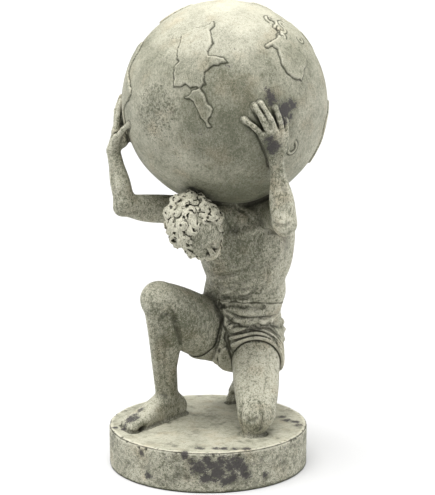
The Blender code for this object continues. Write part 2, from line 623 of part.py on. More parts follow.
def plinth():
    """A turned disc with a rounded rim above and below."""
    corner = np.linspace(0, np.pi / 2, 3)
    rim = PLINTH_RADIUS - PLINTH_EDGE * (1 - np.sin(corner))
    low = PLINTH_EDGE * (1 - np.cos(corner))
    profile = list(zip(rim, low)) + list(zip(rim[::-1], PLINTH_HEIGHT - low[::-1]))
    shape = bmesh.new()
    rings = []
    for radius, height in profile:
        turns = np.arange(PLINTH_SIDES) * 2 * np.pi / PLINTH_SIDES
        rings.append([shape.verts.new((radius * np.cos(t), radius * np.sin(t), height)) for t in turns])
    for lower, upper in zip(rings[:-1], rings[1:]):
        for i in range(PLINTH_SIDES):
            j = (i + 1) % PLINTH_SIDES
            shape.faces.new((lower[i], lower[j], upper[j], upper[i]))
    shape.faces.new(rings[0][::-1])
    shape.faces.new(rings[-1])
    mesh = bpy.data.meshes.new("atlas_statue")
    shape.to_mesh(mesh)
    shape.free()
    return mesh


def helper(mesh, triangles):
    """An object that only the statue's union uses, with its mesh brought down to a number of triangles."""
    made = bpy.data.objects.new(mesh.name, mesh)
    bpy.context.collection.objects.link(made)
    made.hide_render = True
    made.display_type = "WIRE"
    full = sum(len(face.vertices) - 2 for face in mesh.polygons)
    fewer = made.modifiers.new("Fewer faces", "DECIMATE")
    fewer.ratio = min(1.0, triangles / full)
    fewer.use_collapse_triangulate = True
    return made


def stone():
    """Cast stone with a grey green age to it."""
    material = bpy.data.materials.new("aged_stone")
    material.use_nodes = True
    shader = material.node_tree.nodes["Principled BSDF"]
    shader.inputs["Base Color"].default_value = (0.42, 0.41, 0.33, 1)
    shader.inputs["Roughness"].default_value = 0.8
    shader.inputs["Metallic"].default_value = 0.0
    return material


def main():
    for old in list(bpy.data.objects):
        bpy.data.objects.remove(old, do_unlink=True)
    mesh = plinth()
    mesh.materials.append(stone())
    statue = bpy.data.objects.new("atlas_statue", mesh)
    bpy.context.collection.objects.link(statue)
    for added in (helper(figure(), FIGURE_TRIANGLES), helper(globe(), GLOBE_TRIANGLES)):
        union = statue.modifiers.new("Join " + added.name, "BOOLEAN")
        union.operation = "UNION"
        union.solver = "EXACT"
        union.object = added


main()
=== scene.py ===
"""Looks of a cast stone statue: a kneeling man under a globe, on a round plinth.

The figure is modelled as clay: rounded forms are blended into a block of cells that hold the distance to the
surface, and the surface is taken out of the block as a mesh. Its places are in units of a standing height of
520, with x to the viewer's right, y away from the viewer and z up from the top of the plinth.
"""

import functools
import json
import math

import bmesh
import bpy
import numpy as np
import openvdb
from mathutils import Matrix, Vector
from mathutils.kdtree import KDTree

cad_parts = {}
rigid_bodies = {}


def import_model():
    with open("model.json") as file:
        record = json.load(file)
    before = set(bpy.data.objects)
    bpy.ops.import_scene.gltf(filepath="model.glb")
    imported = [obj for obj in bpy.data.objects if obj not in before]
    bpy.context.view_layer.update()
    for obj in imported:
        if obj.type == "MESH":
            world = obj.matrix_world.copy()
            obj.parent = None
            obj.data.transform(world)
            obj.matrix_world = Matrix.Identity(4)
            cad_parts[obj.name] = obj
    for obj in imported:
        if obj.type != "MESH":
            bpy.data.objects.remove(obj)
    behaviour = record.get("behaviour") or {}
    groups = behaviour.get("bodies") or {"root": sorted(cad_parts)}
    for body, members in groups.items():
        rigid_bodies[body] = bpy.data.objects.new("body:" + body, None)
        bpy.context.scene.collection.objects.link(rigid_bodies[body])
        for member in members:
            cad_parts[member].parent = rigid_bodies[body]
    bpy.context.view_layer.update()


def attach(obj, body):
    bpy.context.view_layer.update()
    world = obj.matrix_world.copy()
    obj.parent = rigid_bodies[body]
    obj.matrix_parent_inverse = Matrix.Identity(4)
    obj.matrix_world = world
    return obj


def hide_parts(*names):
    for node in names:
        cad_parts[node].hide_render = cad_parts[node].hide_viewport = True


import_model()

bl_info = {
    "name": "Atlas statue",
    "version": (1, 0, 0),
    "blender": (4, 5, 0),
    "location": "3D View > Sidebar > Statue",
    "description": "Models an aged cast stone statue of a kneeling man with a globe",
    "category": "Add Mesh",
}

NODE = "atlas_statue"
UNIT = 0.001
FAR = 14.0
BLOCK_LOW, BLOCK_HIGH = (-122, -112, -7), (112, 116, 380)
BODY_CELL = 1.1
HEAD_CELL = 0.6
FRAME_HEIGHT = 495

# The globe rests on the shoulders, and the head bows in front of it.
PLINTH_RADIUS = 0.1106
PLINTH_HEIGHT = 0.0441
PLINTH_EDGE = 0.0022
PLINTH_SIDES = 420
GLOBE_R = 110.9
SEAT = np.array((18.8, 15.0, 244.1))
GLOBE = SEAT + (0, 0, GLOBE_R)
PELVIS = np.array((33.0, 57, 92))
BELLY = np.array((39.0, 43, 132))
CHEST = np.array((41.0, 22, 186))
NECK = np.array((26.0, 4, 240))
HEAD = np.array((-12.5, -51, 229))
HIPS = {"right": np.array((13.0, 56, 88)), "left": np.array((54.0, 55, 90))}
KNEES = {"right": np.array((-53.5, -22, 145)), "left": np.array((53.0, -44, 23))}
ANKLES = {"right": np.array((-47.0, 24, 20)), "left": np.array((47.0, 60, 33))}
SHOULDERS = {"right": np.array((-20.0, 32, 234)), "left": np.array((74.0, -2, 238))}
ELBOWS = {"right": np.array((-90.0, -8, 247)), "left": np.array((80.0, -84, 238))}
UP = np.array((0, 0, 1.0))

# Edges of the land on the globe, as (east, north) in degrees from the middle of the front.
LANDS = (
    ((-11, 53), (-15, 49), (-21, 48), (-27, 46), (-32, 41), (-31, 37), (-31, 33), (-30, 28), (-28, 26),
     (-30, 23), (-30, 18), (-29, 12), (-25, 13), (-22, 15), (-19, 12), (-16, 13), (-14, 12), (-11, 14),
     (-12, 17), (-12, 20), (-10, 22), (-7, 24), (-3, 25), (1, 26), (-1, 29), (-5, 29), (-10, 30),
     (-12, 32), (-10, 34), (-8, 37), (-10, 39), (-11, 43), (-13, 46), (-9, 49)),
    ((-14, 12), (-18, 10), (-22, 7), (-19, 6), (-17, 5), (-15, 2), (-14, 0), (-13, -3), (-11, -6),
     (-10, -9), (-8, -8), (-9, -5), (-8, -2), (-7, 1), (-8, 3), (-10, 5), (-11, 7), (-12, 9)),
    ((45, 57), (47, 54), (57, 54), (72, 53), (76, 49), (76, 43), (69, 38), (60, 31), (57, 25), (50, 20),
     (47, 15), (43, 16), (39, 18), (37, 19), (36, 22), (34, 25), (35, 29), (35, 33), (32, 35), (27, 35),
     (31, 38), (37, 40), (44, 42), (45, 45), (42, 48), (49, 52)),
)
# Further lands, each with its middle, its half size in degrees and a seed for its coast.
FAR_LANDS = (((-99, 8), 27, 1), ((-128, 52), 22, 2), ((150, 34), 33, 3),
             ((172, -24), 25, 4), ((100, -14), 20, 5), ((112, 30), 15, 6))


def unit(vector):
    vector = np.asarray(vector, float)
    return vector / np.linalg.norm(vector)


def frame_of(long, toward):
    """Three axes as rows: along a form, across it, and the way it faces."""
    along = unit(long)
    face = np.asarray(toward, float)
    face = unit(face - along * (face @ along))
    return np.array([along, np.cross(face, along), face])


# A form is its low corner, its high corner and a function that gives the distance to it.


def ball(centre, radius):
    return egg(centre, (radius, radius, radius))


def egg(centre, radii, axes=np.eye(3)):
    centre, radii = np.asarray(centre, float), np.asarray(radii, float)
    reach = np.sqrt(((np.asarray(axes) * radii[:, None]) ** 2).sum(axis=0))

    def distance(x, y, z):
        x, y, z = x - centre[0], y - centre[1], z - centre[2]
        near, steep = 0.0, 0.0
        for axis, size in zip(axes, radii):
            along = (x * axis[0] + y * axis[1] + z * axis[2]) / size
            near = near + along ** 2
            steep = steep + (along / size) ** 2
        near = np.sqrt(near)
        return near * (near - 1) / np.sqrt(np.maximum(steep, 1e-9))

    return centre - reach, centre + reach, distance


def muscle(start, end, width, depth, facing):
    """A spindle between two points, a little longer than the space between them."""
    start, end = np.asarray(start, float), np.asarray(end, float)
    half = 0.56 * np.linalg.norm(end - start)
    return egg((start + end) / 2, (half, width, depth), frame_of(end - start, facing))


def curve(points, steps):
    """Points along a smooth curve that passes through the given ones."""
    p = np.asarray(points, float)
    p = np.vstack([2 * p[0] - p[1], p, 2 * p[-1] - p[-2]])
    t = (np.arange(steps) / steps)[:, None]
    spans = [0.5 * (2 * p[i] + (p[i + 1] - p[i - 1]) * t
                    + (2 * p[i - 1] - 5 * p[i] + 4 * p[i + 1] - p[i + 2]) * t ** 2
                    + (3 * p[i] - p[i - 1] - 3 * p[i + 1] + p[i + 2]) * t ** 3) for i in range(1, len(p) - 2)]
    return np.vstack(spans + [p[-2:-1]])


def strand(points, radii, steps=4):
    """A round rope through the points, with a radius at each of them."""
    radii = np.broadcast_to(np.asarray(radii, float), len(points))
    line = curve(np.column_stack([np.asarray(points, float), radii]), steps)
    low = (line[:, :3] - line[:, 3:]).min(axis=0)
    high = (line[:, :3] + line[:, 3:]).max(axis=0)

    def distance(x, y, z):
        best = FAR
        for a, b in zip(line[:-1], line[1:]):
            d = b - a
            t = ((x - a[0]) * d[0] + (y - a[1]) * d[1] + (z - a[2]) * d[2]) / max(d[:3] @ d[:3], 1e-9)
            t = np.clip(t, 0, 1)
            off = (x - a[0] - t * d[0]) ** 2 + (y - a[1] - t * d[1]) ** 2 + (z - a[2] - t * d[2]) ** 2
            best = np.minimum(best, np.sqrt(off) - (a[3] + t * d[3]))
        return best

    return low, high, distance


def fade_ends(count):
    return np.interp(np.linspace(0, 1, count), (0, 0.25, 0.75, 1), (0.5, 1, 1, 0.5))


def bone(start, end, first, last):
    return strand([start, end], [first, last], 1)


def soft_least(first, second, blend):
    soft = np.maximum(blend - np.abs(first - second), 0)
    return np.minimum(first, second) - soft ** 2 / (4 * blend)


class Clay:
    """A block of cells, each holding its distance to the surface, which is less than 0 inside."""

    def __init__(self, low, high, cell):
        self.cell = cell
        self.first = np.floor(np.asarray(low) / cell).astype(int)
        count = np.ceil(np.asarray(high) / cell).astype(int) - self.first + 1
        self.field = np.full(count, FAR, np.float32)

    def copy(self):
        other = Clay(self.first * self.cell, self.first * self.cell, self.cell)
        other.first, other.field = self.first, self.field.copy()
        return other

    def window(self, low, high, margin):
        """The cells round a box, as slices and as their coordinates."""
        a = np.floor((np.asarray(low) - margin) / self.cell).astype(int) - self.first
        b = np.ceil((np.asarray(high) + margin) / self.cell).astype(int) - self.first + 1
        a, b = np.clip(a, 0, self.field.shape), np.clip(b, 0, self.field.shape)
        lines = [((np.arange(i, j) + f) * self.cell).astype(np.float32) for i, j, f in zip(a, b, self.first)]
        return tuple(map(slice, a, b)), np.ix_(*lines)

    def add(self, form, blend, margin=5.0):
        """Joins a form to the clay, with a fillet as wide as the blend."""
        low, high, distance = form
        cells, grid = self.window(low, high, min(FAR, blend + margin))
        self.field[cells] = soft_least(self.field[cells], distance(*grid), blend)

    def carve(self, form, blend):
        low, high, distance = form
        cells, grid = self.window(low, high, blend)
        self.field[cells] = -soft_least(-self.field[cells], distance(*grid), blend)

    def depth(self, points):
        """The distance at any points, read between the cells."""
        at = np.asarray(points, float) / self.cell - self.first
        base = np.clip(np.floor(at).astype(int), 0, np.array(self.field.shape) - 2)
        part = np.clip(at - base, 0, 1)
        total = 0.0
        for step in np.ndindex(2, 2, 2):
            share = np.where(step, part, 1 - part).prod(axis=1)
            total = total + share * self.field[tuple((base + step).T)]
        return total

    def slope(self, points):
        """The way out of the surface at each point."""
        slope = np.stack([self.depth(points + self.cell * axis) - self.depth(points - self.cell * axis)
                          for axis in np.eye(3)], axis=1)
        return slope / np.maximum(np.linalg.norm(slope, axis=1, keepdims=True), 1e-6)

    def settle(self, points, lift=0.0):
        """The points moved onto the surface, or a lift above it."""
        points = np.array(points, float)
        for _ in range(8):
            points -= self.slope(points) * (self.depth(points) - lift)[:, None] * 0.8
        return points

    def skin(self, starts, ways, reach, lift):
        """The outermost points of the surface along rays from inside."""
        steps = np.arange(0, reach, 0.5)
        found = []
        for start, way in zip(np.broadcast_to(starts, np.shape(ways)), ways):
            inside = np.nonzero(self.depth(start + way * steps[:, None]) < 0)[0]
            found.append(start + way * steps[inside.max(initial=0)])
        return self.settle(found, lift)

    def spread(self, solid, width, reach):
        """Lets the clay run out in a fillet over a solid that it touches."""
        cells, grid = self.window(BLOCK_LOW, BLOCK_HIGH, 0)
        field = self.field[cells]
        run = np.maximum(soft_least(field, solid(*grid) + 0.4, width), field - reach)
        self.field[cells] = np.minimum(field, run)

    def surface(self):
        """The surface's points in these units, and its faces."""
        grid = openvdb.FloatGrid(FAR)
        grid.copyFromArray(self.field)
        points, triangles, quads = grid.convertToPolygons(0.0, 0.0)
        return (points + self.first) * self.cell, quads.tolist() + triangles.tolist()


def on_globe(*directions):
    """Points by their direction from the globe's middle and their height over its surface."""
    return [GLOBE + unit(d[:3]) * (GLOBE_R + d[3]) for d in directions]


WRISTS = {"right": on_globe((-0.918, -0.105, -0.381, 21))[0],
          "left": on_globe((0.448, -0.757, -0.476, 6.7))[0]}
ACROSS = unit((0.955, -0.285, 0.03))
SPINE = unit(NECK - PELVIS)
TRUNK = frame_of(SPINE, np.cross(ACROSS, SPINE))
FRONT = TRUNK[2]


def on_trunk(base, up, across=0.0, front=0.0):
    return base + SPINE * up + ACROSS * across + FRONT * front


def torso(clay):
    clay.add(egg(on_trunk(PELVIS, 6), (36, 37, 31), TRUNK), 4)
    clay.add(egg(BELLY, (42, 43, 31), TRUNK), 14)
    clay.add(egg(CHEST, (52, 49, 35), TRUNK), 16)
    clay.add(egg(on_trunk(CHEST, 34, 0, -4), (26, 50, 24), TRUNK), 14)
    for side in (-1, 1):
        back = frame_of(SPINE + side * 0.22 * ACROSS, FRONT)
        clay.add(egg(on_trunk(CHEST, 2, side * 39, -8), (40, 13, 18), back), 12)
        clay.add(egg(on_trunk(CHEST, 25, side * 22, 20), (19, 24, 9), TRUNK), 15)
        clay.add(egg(on_trunk(CHEST, 22, side * 25, -28), (22, 14, 7), back), 8)
        clay.add(egg(on_trunk(CHEST, -38, side * 11, -27), (40, 9, 9), TRUNK), 8)
        clay.add(egg(on_trunk(BELLY, 8, side * 33, 2), (20, 10, 17), TRUNK), 7)
        clay.add(egg(PELVIS + (side * 18, 23, -10), (22, 19, 24)), 9)
        ribs(clay, side)
        collar = [on_trunk(CHEST, up, side * across, front) for up, across, front in
                  ((42, 5, 29), (46, 20, 25), (50, 40, 14))]
        clay.add(strand(collar, 3.4), 6)
        chest = [on_trunk(CHEST, up, side * across, front) for up, across, front in
                 ((12, 4, 36), (5, 24, 35), (16, 42, 24))]
        clay.carve(strand(clay.settle(chest, 1.6), [1.2, 2.2, 1.2]), 5)
        for up in (40, 28, 16, 2, -12):
            clay.add(egg(on_trunk(BELLY, up, side * 9.5, 28 + 0.06 * up), (6.5, 8.5, 6.5), TRUNK), 2.5)
    clay.add(egg(on_trunk(BELLY, 12, 38, 0), (19, 12, 17), TRUNK), 6)
    belly_folds(clay)
    clay.add(strand([NECK + (6, 12, -8), NECK, HEAD + (12, 20, 2)], [21, 19, 16]), 9)
    clay.add(egg((42, -11, 230), (20, 10, 12)), 9)
    for side in ("right", "left"):
        clay.add(bone(NECK + (4, 14, -4), SHOULDERS[side] + (0, 6, 2), 18, 15), 9)


def ribs(clay, side):
    """Slips of muscle that run down over the ribs."""
    for i in range(4):
        start = on_trunk(CHEST, 2 - 9 * i, side * (42 - 1.5 * i), 6 + 1.5 * i)
        end = on_trunk(CHEST, -7 - 8 * i, side * (30 - 2.5 * i), 24 + 0.5 * i)
        clay.add(muscle(start, end, 4.4, 4.4, FRONT + side * ACROSS), 3)


def belly_folds(clay):
    """Furrows down the breastbone and the spine, and the folds of the bent belly."""
    front = [on_trunk(CHEST, 36, 0, 40), on_trunk(CHEST, 6, 0, 41), on_trunk(BELLY, 20, 0, 36)]
    clay.carve(strand(front, [3.2, 3.2, 2.2]), 4)
    back = [on_trunk(CHEST, 40, 0, -37), on_trunk(CHEST, 0, 0, -41), on_trunk(BELLY, 0, 0, -36)]
    clay.carve(strand(back, [3, 3.5, 3]), 7)
    for up, reach, deep in ((35, 26, 2.6), (23, 29, 2.4), (10, 36, 3.2), (-3, 30, 2.2)):
        line = [on_trunk(BELLY, up - 0.004 * across ** 2, across, 40)
                for across in np.linspace(-reach, reach, 9)]
        clay.carve(strand(clay.settle(line, 0.4), deep, 2), 1.8)


def arm(clay, side, bend):
    """Upper arm, elbow and forearm. The crook of the elbow faces the bend."""
    shoulder, elbow, wrist = SHOULDERS[side], ELBOWS[side], WRISTS[side]
    crook = unit(bend)
    upper, lower = elbow - shoulder, wrist - elbow
    drop = 3 if side == "right" else 0
    clay.add(egg(shoulder, (21, 19, 20), frame_of(upper, UP)), 10)
    clay.add(bone(shoulder, elbow, 15, 11.5), 8)
    clay.add(muscle(shoulder - 0.05 * upper, shoulder + 0.62 * upper, 15, 14, UP), 7)
    start, end = shoulder + 0.22 * upper + 5 * crook, shoulder + 0.92 * upper + 4 * crook
    clay.add(muscle(start, end, 9.5, 10, crook), 4)
    start, end = shoulder + 0.15 * upper - (6 + drop) * crook, shoulder + 0.95 * upper - (4 + drop) * crook
    clay.add(muscle(start, end, 11, 10.5, crook), 3)
    clay.add(bone(elbow, wrist, 11, 7.4), 6)
    out = unit(np.cross(lower, crook))
    for way in (-1, 1):
        start, end = elbow - 0.04 * lower + 5.5 * way * out, elbow + 0.73 * lower + 2.5 * way * out
        clay.add(muscle(start, end, 9, 10, crook), 4)
    start, end = elbow - 0.16 * lower + 3 * crook + 4 * out, elbow + 0.45 * lower + 5 * crook
    clay.add(muscle(start, end, 6, 6, crook), 4)
    clay.add(ball(elbow - 6.5 * crook, 6.5), 5)


def leg(clay, side):
    hip, knee, ankle = HIPS[side], KNEES[side], ANKLES[side]
    thigh, shin = knee - hip, ankle - knee
    out = unit(np.cross(thigh, shin))
    top = frame_of(thigh, UP)[2]
    shin_front = -frame_of(shin, -thigh)[2]
    more = 3 if side == "right" else 0
    edges = []
    clay.add(bone(hip, knee, 31, 20), 10)
    start, end = hip + 0.02 * thigh + (8 + more) * top, knee + (5 + more) * top
    clay.add(muscle(start, end, 19, 18, top), 7)
    start, end = hip + 0.04 * thigh - (17 + more) * top, hip + 0.84 * thigh - (14 + more) * top
    clay.add(muscle(start, end, 20, 20, top), 8)
    clay.add(bone(knee, ankle, 16.5, 10.4 + 0.6 * more), 6)
    for way in (-1, 1):
        start = hip + 0.25 * thigh + 13 * way * out + 4 * top
        end = knee - 0.02 * thigh + 11 * way * out + 4 * top
        clay.add(muscle(start, end, 12, 13, top), 6)
        start = hip + 0.05 * thigh + 11 * way * out - 12 * top
        end = hip + 0.92 * thigh + 9 * way * out - 7 * top
        clay.add(muscle(start, end, 12, 12, top), 8)
        clay.add(ball(knee + 8 * way * out + top, 11.5), 4)
        edges.append([knee + 0.1 * shin + 7 * way * out + 9 * shin_front,
                      knee + 0.5 * shin + 6 * way * out + 8 * shin_front,
                      ankle - 0.1 * shin + 5 * way * out + 5 * shin_front])
        start = knee + 0.04 * shin + 6.5 * way * out - 7 * shin_front
        clay.add(muscle(start, knee + 0.66 * shin + 6 * way * out - 6 * shin_front, 11, 11.5, shin_front), 4)
        clay.add(ball(ankle + 9 * way * out + 2 * shin_front, 5), 6)
    start, end = knee + 0.12 * shin + 3 * shin_front, knee + 0.85 * shin + 4 * shin_front
    clay.add(muscle(start, end, 9.5, 9, shin_front), 3)
    edge = [knee + 0.12 * shin + 13 * shin_front, knee + 0.45 * shin + 11 * shin_front,
            ankle + 8 * shin_front]
    clay.add(strand(edge, [5, 4, 4]), 3)
    tendon = [knee + 0.45 * shin - 10 * shin_front, ankle - 9 * shin_front,
              ankle + 0.1 * shin - 9 * shin_front]
    clay.add(strand(tendon, [7, 4.5, 5]), 5)
    for line in edges:
        clay.carve(strand(clay.settle(curve(line, 3), 0.5), 2.0, 1), 3)
    cap = unit(shin_front + top)
    clay.add(egg(knee + 14 * cap, (9, 8.5, 5.5), frame_of(np.cross(cap, out), cap)), 2.5)
    clay.add(bone(knee + 15 * cap, knee + 0.18 * shin + 13 * shin_front, 4.2, 3.4), 3)


def foot(clay, ankle, heel, tread, tip, across, arch):
    """A foot from the heel over its tread to the toes. Across points to the big toe."""
    across, arch = unit(across), unit(arch)
    clay.add(egg((ankle + heel) / 2, (16, 10.5, 12), frame_of(ankle - heel, tread - heel)), 7)
    clay.add(ball(heel, 10), 7)
    for way, size in ((0.85, 7.0), (0.3, 7.0), (-0.3, 6.2), (-0.85, 5.4)):
        start = ankle + 5 * way * across + 0.15 * (tread - ankle)
        end = tread + 10.5 * way * across
        middle = (start + end) / 2 + (2.5 if way > 0 else 1.0) * arch
        clay.add(strand([start, middle, end], [size + 3, size + 0.6, size - 0.4]), 4)
        clay.add(bone(heel + 4 * way * across, end, 7, size - 1), 5)
    for i, (size, further) in enumerate(zip((5.2, 4.0, 3.8, 3.6, 3.6), (0.12, 0.1, 0.0, -0.16, -0.36))):
        way = 1.05 - 0.52 * i
        base = tread + 10.5 * way * across
        end = tip + 12.0 * way * across + (tip - tread) * further + (size - 4) * arch
        clay.add(strand([base, (base + end) / 2 + 2.2 * arch, end], [size, size * 0.86, size * 0.92]), 1.2)


def feet(clay):
    aim = np.array((-0.68, -0.73, 0))
    foot(clay, ANKLES["right"], np.array((-36.0, 34, 10)), np.array((-77.0, -14, 6.5)),
         np.array((-89.0, -28, 4.0)), np.cross(UP, aim), UP)
    foot(clay, ANKLES["left"], np.array((47.0, 75, 50)), np.array((40.0, 88, 11)),
         np.array((38.0, 78, 4.5)), (-1, -0.1, 0), (0.1, -0.6, 0.5))


def hand(clay, wrist, knuckles, fingers, thumb, back):
    """Knuckles and fingers run from the first finger to the little one."""
    back = unit(back)
    for knuckle in knuckles:
        clay.add(strand([wrist, (wrist + knuckle) / 2 + 0.8 * back, knuckle], [6.2, 4.7, 4.0]), 2.5)
        clay.add(ball(knuckle + 0.8 * back, 4.0), 1.6)
    for knuckle, finger, size in zip(knuckles, fingers, (3.3, 3.4, 3.2, 2.8)):
        clay.add(strand([knuckle] + finger, (size + 0.5, size, size - 0.7)), 0.8)
        clay.add(ball(finger[0] + 0.6 * back, size), 1.0)
    clay.add(strand([wrist] + thumb, np.linspace(6.2, 2.8, len(thumb) + 1)), 1.8)


def hands(clay):
    hand(clay, WRISTS["left"],
         on_globe((0.485, -0.85, -0.215, 6), (0.43, -0.885, -0.19, 7), (0.375, -0.91, -0.19, 6.5),
                  (0.325, -0.925, -0.215, 5)),
         [on_globe((0.475, -0.872, -0.10, 5.5), (0.452, -0.893, 0.02, 2.2)),
          on_globe((0.385, -0.92, -0.07, 6), (0.315, -0.947, 0.065, 2.4)),
          on_globe((0.325, -0.943, -0.08, 5.8), (0.262, -0.963, 0.045, 2.3)),
          on_globe((0.25, -0.96, -0.14, 4.6), (0.165, -0.983, -0.075, 2.0))],
         on_globe((0.50, -0.81, -0.33, 7), (0.525, -0.82, -0.22, 5), (0.545, -0.83, -0.10, 2.0)),
         (0, -1, 0))
    hand(clay, WRISTS["right"],
         on_globe((-0.972, -0.017, -0.233, 8), (-0.972, -0.081, -0.219, 10), (-0.960, -0.150, -0.237, 12),
                  (-0.937, -0.210, -0.280, 13)),
         [on_globe((-0.955, 0.18, -0.09, 6), (-0.975, 0.2, 0.05, 2.3)),
          on_globe((-0.985, 0.02, -0.07, 7), (-0.995, 0.04, 0.06, 2.6)),
          on_globe((-0.975, -0.12, -0.12, 6.5), (-0.985, -0.1, 0.03, 2.4)),
          on_globe((-0.935, -0.27, -0.22, 5.2), (-0.915, -0.365, -0.17, 2.0))],
         on_globe((-0.93, 0.02, -0.32, 10), (-0.93, 0.14, -0.24, 5), (-0.93, 0.24, -0.14, 2.0)),
         (-1, 0, 0))
    clay.add(egg(on_globe((-0.935, -0.08, -0.30, 7))[0], (8, 10, 12)), 5)


# The front of the cloth: folds that stand out, and grooves that are cut between them.
FOLDS = (
    ((22, 12, 122), (36, 12, 114), (51, 11, 111), (65, 15, 111), (79, 27, 113)),
    ((21, 15, 104), (30, 11, 103), (42, 10, 103)),
    ((18, 20, 128), (36, 10, 125), (53, 9, 123), (77, 17, 124)),
    ((12, 12, 123), (14, 10, 108), (14, 10, 91), (16, 13, 73)),
    ((4, 14, 131), (8, 9, 118), (7, 9, 100), (6, 12, 84)),
)
GROOVES = (
    ((1, 19, 135), (7, 13, 133), (13, 13, 129), (18, 13, 121)),
    ((18, 13, 121), (26, 14, 112), (37, 10, 108), (52, 11, 105), (63, 16, 106), (79, 30, 108)),
    ((20, 12, 125), (32, 13, 120), (50, 8, 117), (67, 14, 116), (79, 26, 118)),
    ((8, 7, 130), (13, 11, 117), (12, 8, 100), (9, 10, 84), (5, 19, 68)),
    ((13, 9, 126), (18, 14, 107), (20, 9, 91), (26, 15, 71), (28, 5, 65)),
    ((65, 16, 104), (72, 19, 101), (81, 23, 92)), ((68, 18, 108), (81, 36, 99)),
    ((60, 13, 101), (74, 12, 93), (80, 11, 81)), ((23, 13, 101), (23, 11, 90), (27, 13, 77)),
)
CLOTH_THICKNESS = 2.4
CLOTH_LOW, CLOTH_HIGH = (-60, -40, 0), (110, 115, 160)
# Eggs that fill the clefts under the cloth, each with its middle, its radii and its fillet.
CLOTH_FILLS = (((27, 30, 70), (15, 17, 15), 8), ((26, 28, 92), (17, 14, 20), 10),
               ((0, 21, 126), (10, 8, 9), 6))
# Rolls along the hem of the kneeling thigh: how far back, how thick and how far out each lies.
HEM_ROLLS = ((0.0, 1.7, 0.5), (0.045, 2.1, 1.0), (0.095, 1.7, 0.8), (0.15, 1.9, 0.5), (0.21, 1.3, 0.4))


def waist(x, y, z):
    """Height over the waist line, which is nearly level."""
    return z - 131 - 0.05 * (80 - x) - 0.05 * (39 - y)


def hem_left(cosine):
    """The hem's place along the kneeling thigh, highest on its top."""
    return 0.32 + 0.06 * np.minimum(1 - cosine, 1.3)


def hem_right(cosine):
    return 0.19 + 0.03 * (1 - cosine)


def past_hem(side, hem, x, y, z):
    hip, thigh = HIPS[side], KNEES[side] - HIPS[side]
    along, across, top = [(x - hip[0]) * n[0] + (y - hip[1]) * n[1] + (z - hip[2]) * n[2]
                          for n in frame_of(thigh, UP)]
    cosine = top / np.maximum(np.sqrt(across ** 2 + top ** 2), 1e-3)
    return along - hem(cosine) * np.linalg.norm(thigh)


def cloth_room(x, y, z):
    """Less than 0 where the cloth lies: under the waist, above both hems and clear of the lower legs."""
    knee = KNEES["left"]
    calf = 0.335 * (y - knee[1]) - 0.94 * (z - knee[2]) + 4
    room = np.maximum(np.maximum(waist(x, y, z), calf), -30 - x)
    corner = 12 - 14 * np.clip((z - 118) / 10, 0, 1)
    raised = past_hem("right", hem_right, x, y, z) - 2 * np.maximum(x - corner, 0)
    past = np.maximum(raised, past_hem("left", hem_left, x, y, z))
    return np.maximum(room, past)


def wind_cloth(clay):
    """A cloth wound round the hips, as an offset of the body with folds on it."""
    sheet = clay.copy()
    for middle, radii, blend in CLOTH_FILLS:
        sheet.add(egg(middle, radii), blend)
    cells, grid = sheet.window(CLOTH_LOW, CLOTH_HIGH, 0)
    thick = CLOTH_THICKNESS * np.clip(-waist(*grid) / 12, 0.22, 1)
    kept = np.maximum(sheet.field[cells] - thick, cloth_room(*grid))
    sheet.field[:] = FAR
    sheet.field[cells] = np.minimum(kept, FAR)
    hip, thigh = HIPS["left"], KNEES["left"] - HIPS["left"]
    angle = np.linspace(-2.2, 2.2, 17)
    axes = frame_of(thigh, UP)
    ways = np.outer(np.cos(angle), axes[2]) + np.outer(np.sin(angle), axes[1])
    for back, size, lift in HEM_ROLLS:
        share = hem_left(np.cos(angle)) - 0.012 - back * (1 - 0.45 * np.abs(angle) / 2.2)
        sheet.add(strand(sheet.skin(hip + np.outer(share, thigh), ways, 46, lift), size, 2), 1.2)
    for line in FOLDS:
        line = sheet.settle(curve(np.array(line, float), 4), -1.2)
        sheet.add(strand(line, 2.8 * fade_ends(len(line)), 1), 2.0)
    knot = sheet.settle([(80, 41, 104)])[0]
    for i in range(5):
        ends = [knot + (-9, -6, 6 - 3 * i), knot + (0, -1, 2 - 3 * i),
                knot + (1 + 0.3 * i, 1 - 3 * i, 1 - 6.5 * i)]
        sheet.add(strand(ends, [1.5, 2.8, 1.4], 3), 0.9)
    for i in range(6):
        angle = np.linspace(-1.9, 1.5, 12) + np.pi / 2
        height = 17 - 8.0 * i + 4 * np.cos(2.5 * angle + 0.8 * i)
        ways = np.column_stack([np.cos(angle), np.sin(angle), 0 * angle])
        line = sheet.skin(PELVIS + np.outer(height, UP), ways, 70, 0.3)
        line = line[waist(*line.T) < -2]
        if len(line) > 3:
            sheet.add(strand(line, 1.9, 2), 2.4)
    for line in GROOVES:
        line = sheet.settle(curve(np.array(line, float), 4), 0.7)
        sheet.carve(strand(line, 1.9 * fade_ends(len(line)), 1), 1.2)
    sheet.field = np.maximum(sheet.field, -clay.field - 3.5)
    return sheet


# The head bows: its crown points up, left and to the viewer, and its face down to the chest.
HEAD_LOW, HEAD_HIGH = (-66, -108, 170), (40, 6, 288)
HEAD_SIZE = 1.12
CROWN = unit((-0.25, -0.76, 0.58))
HEAD_AXES = frame_of(CROWN, (0.53, -0.32, -0.79))
SIDEWAYS, FACE = HEAD_AXES[1], HEAD_AXES[2]


def on_head(across, front, up):
    return HEAD + (SIDEWAYS * across + FACE * front + CROWN * up) * HEAD_SIZE


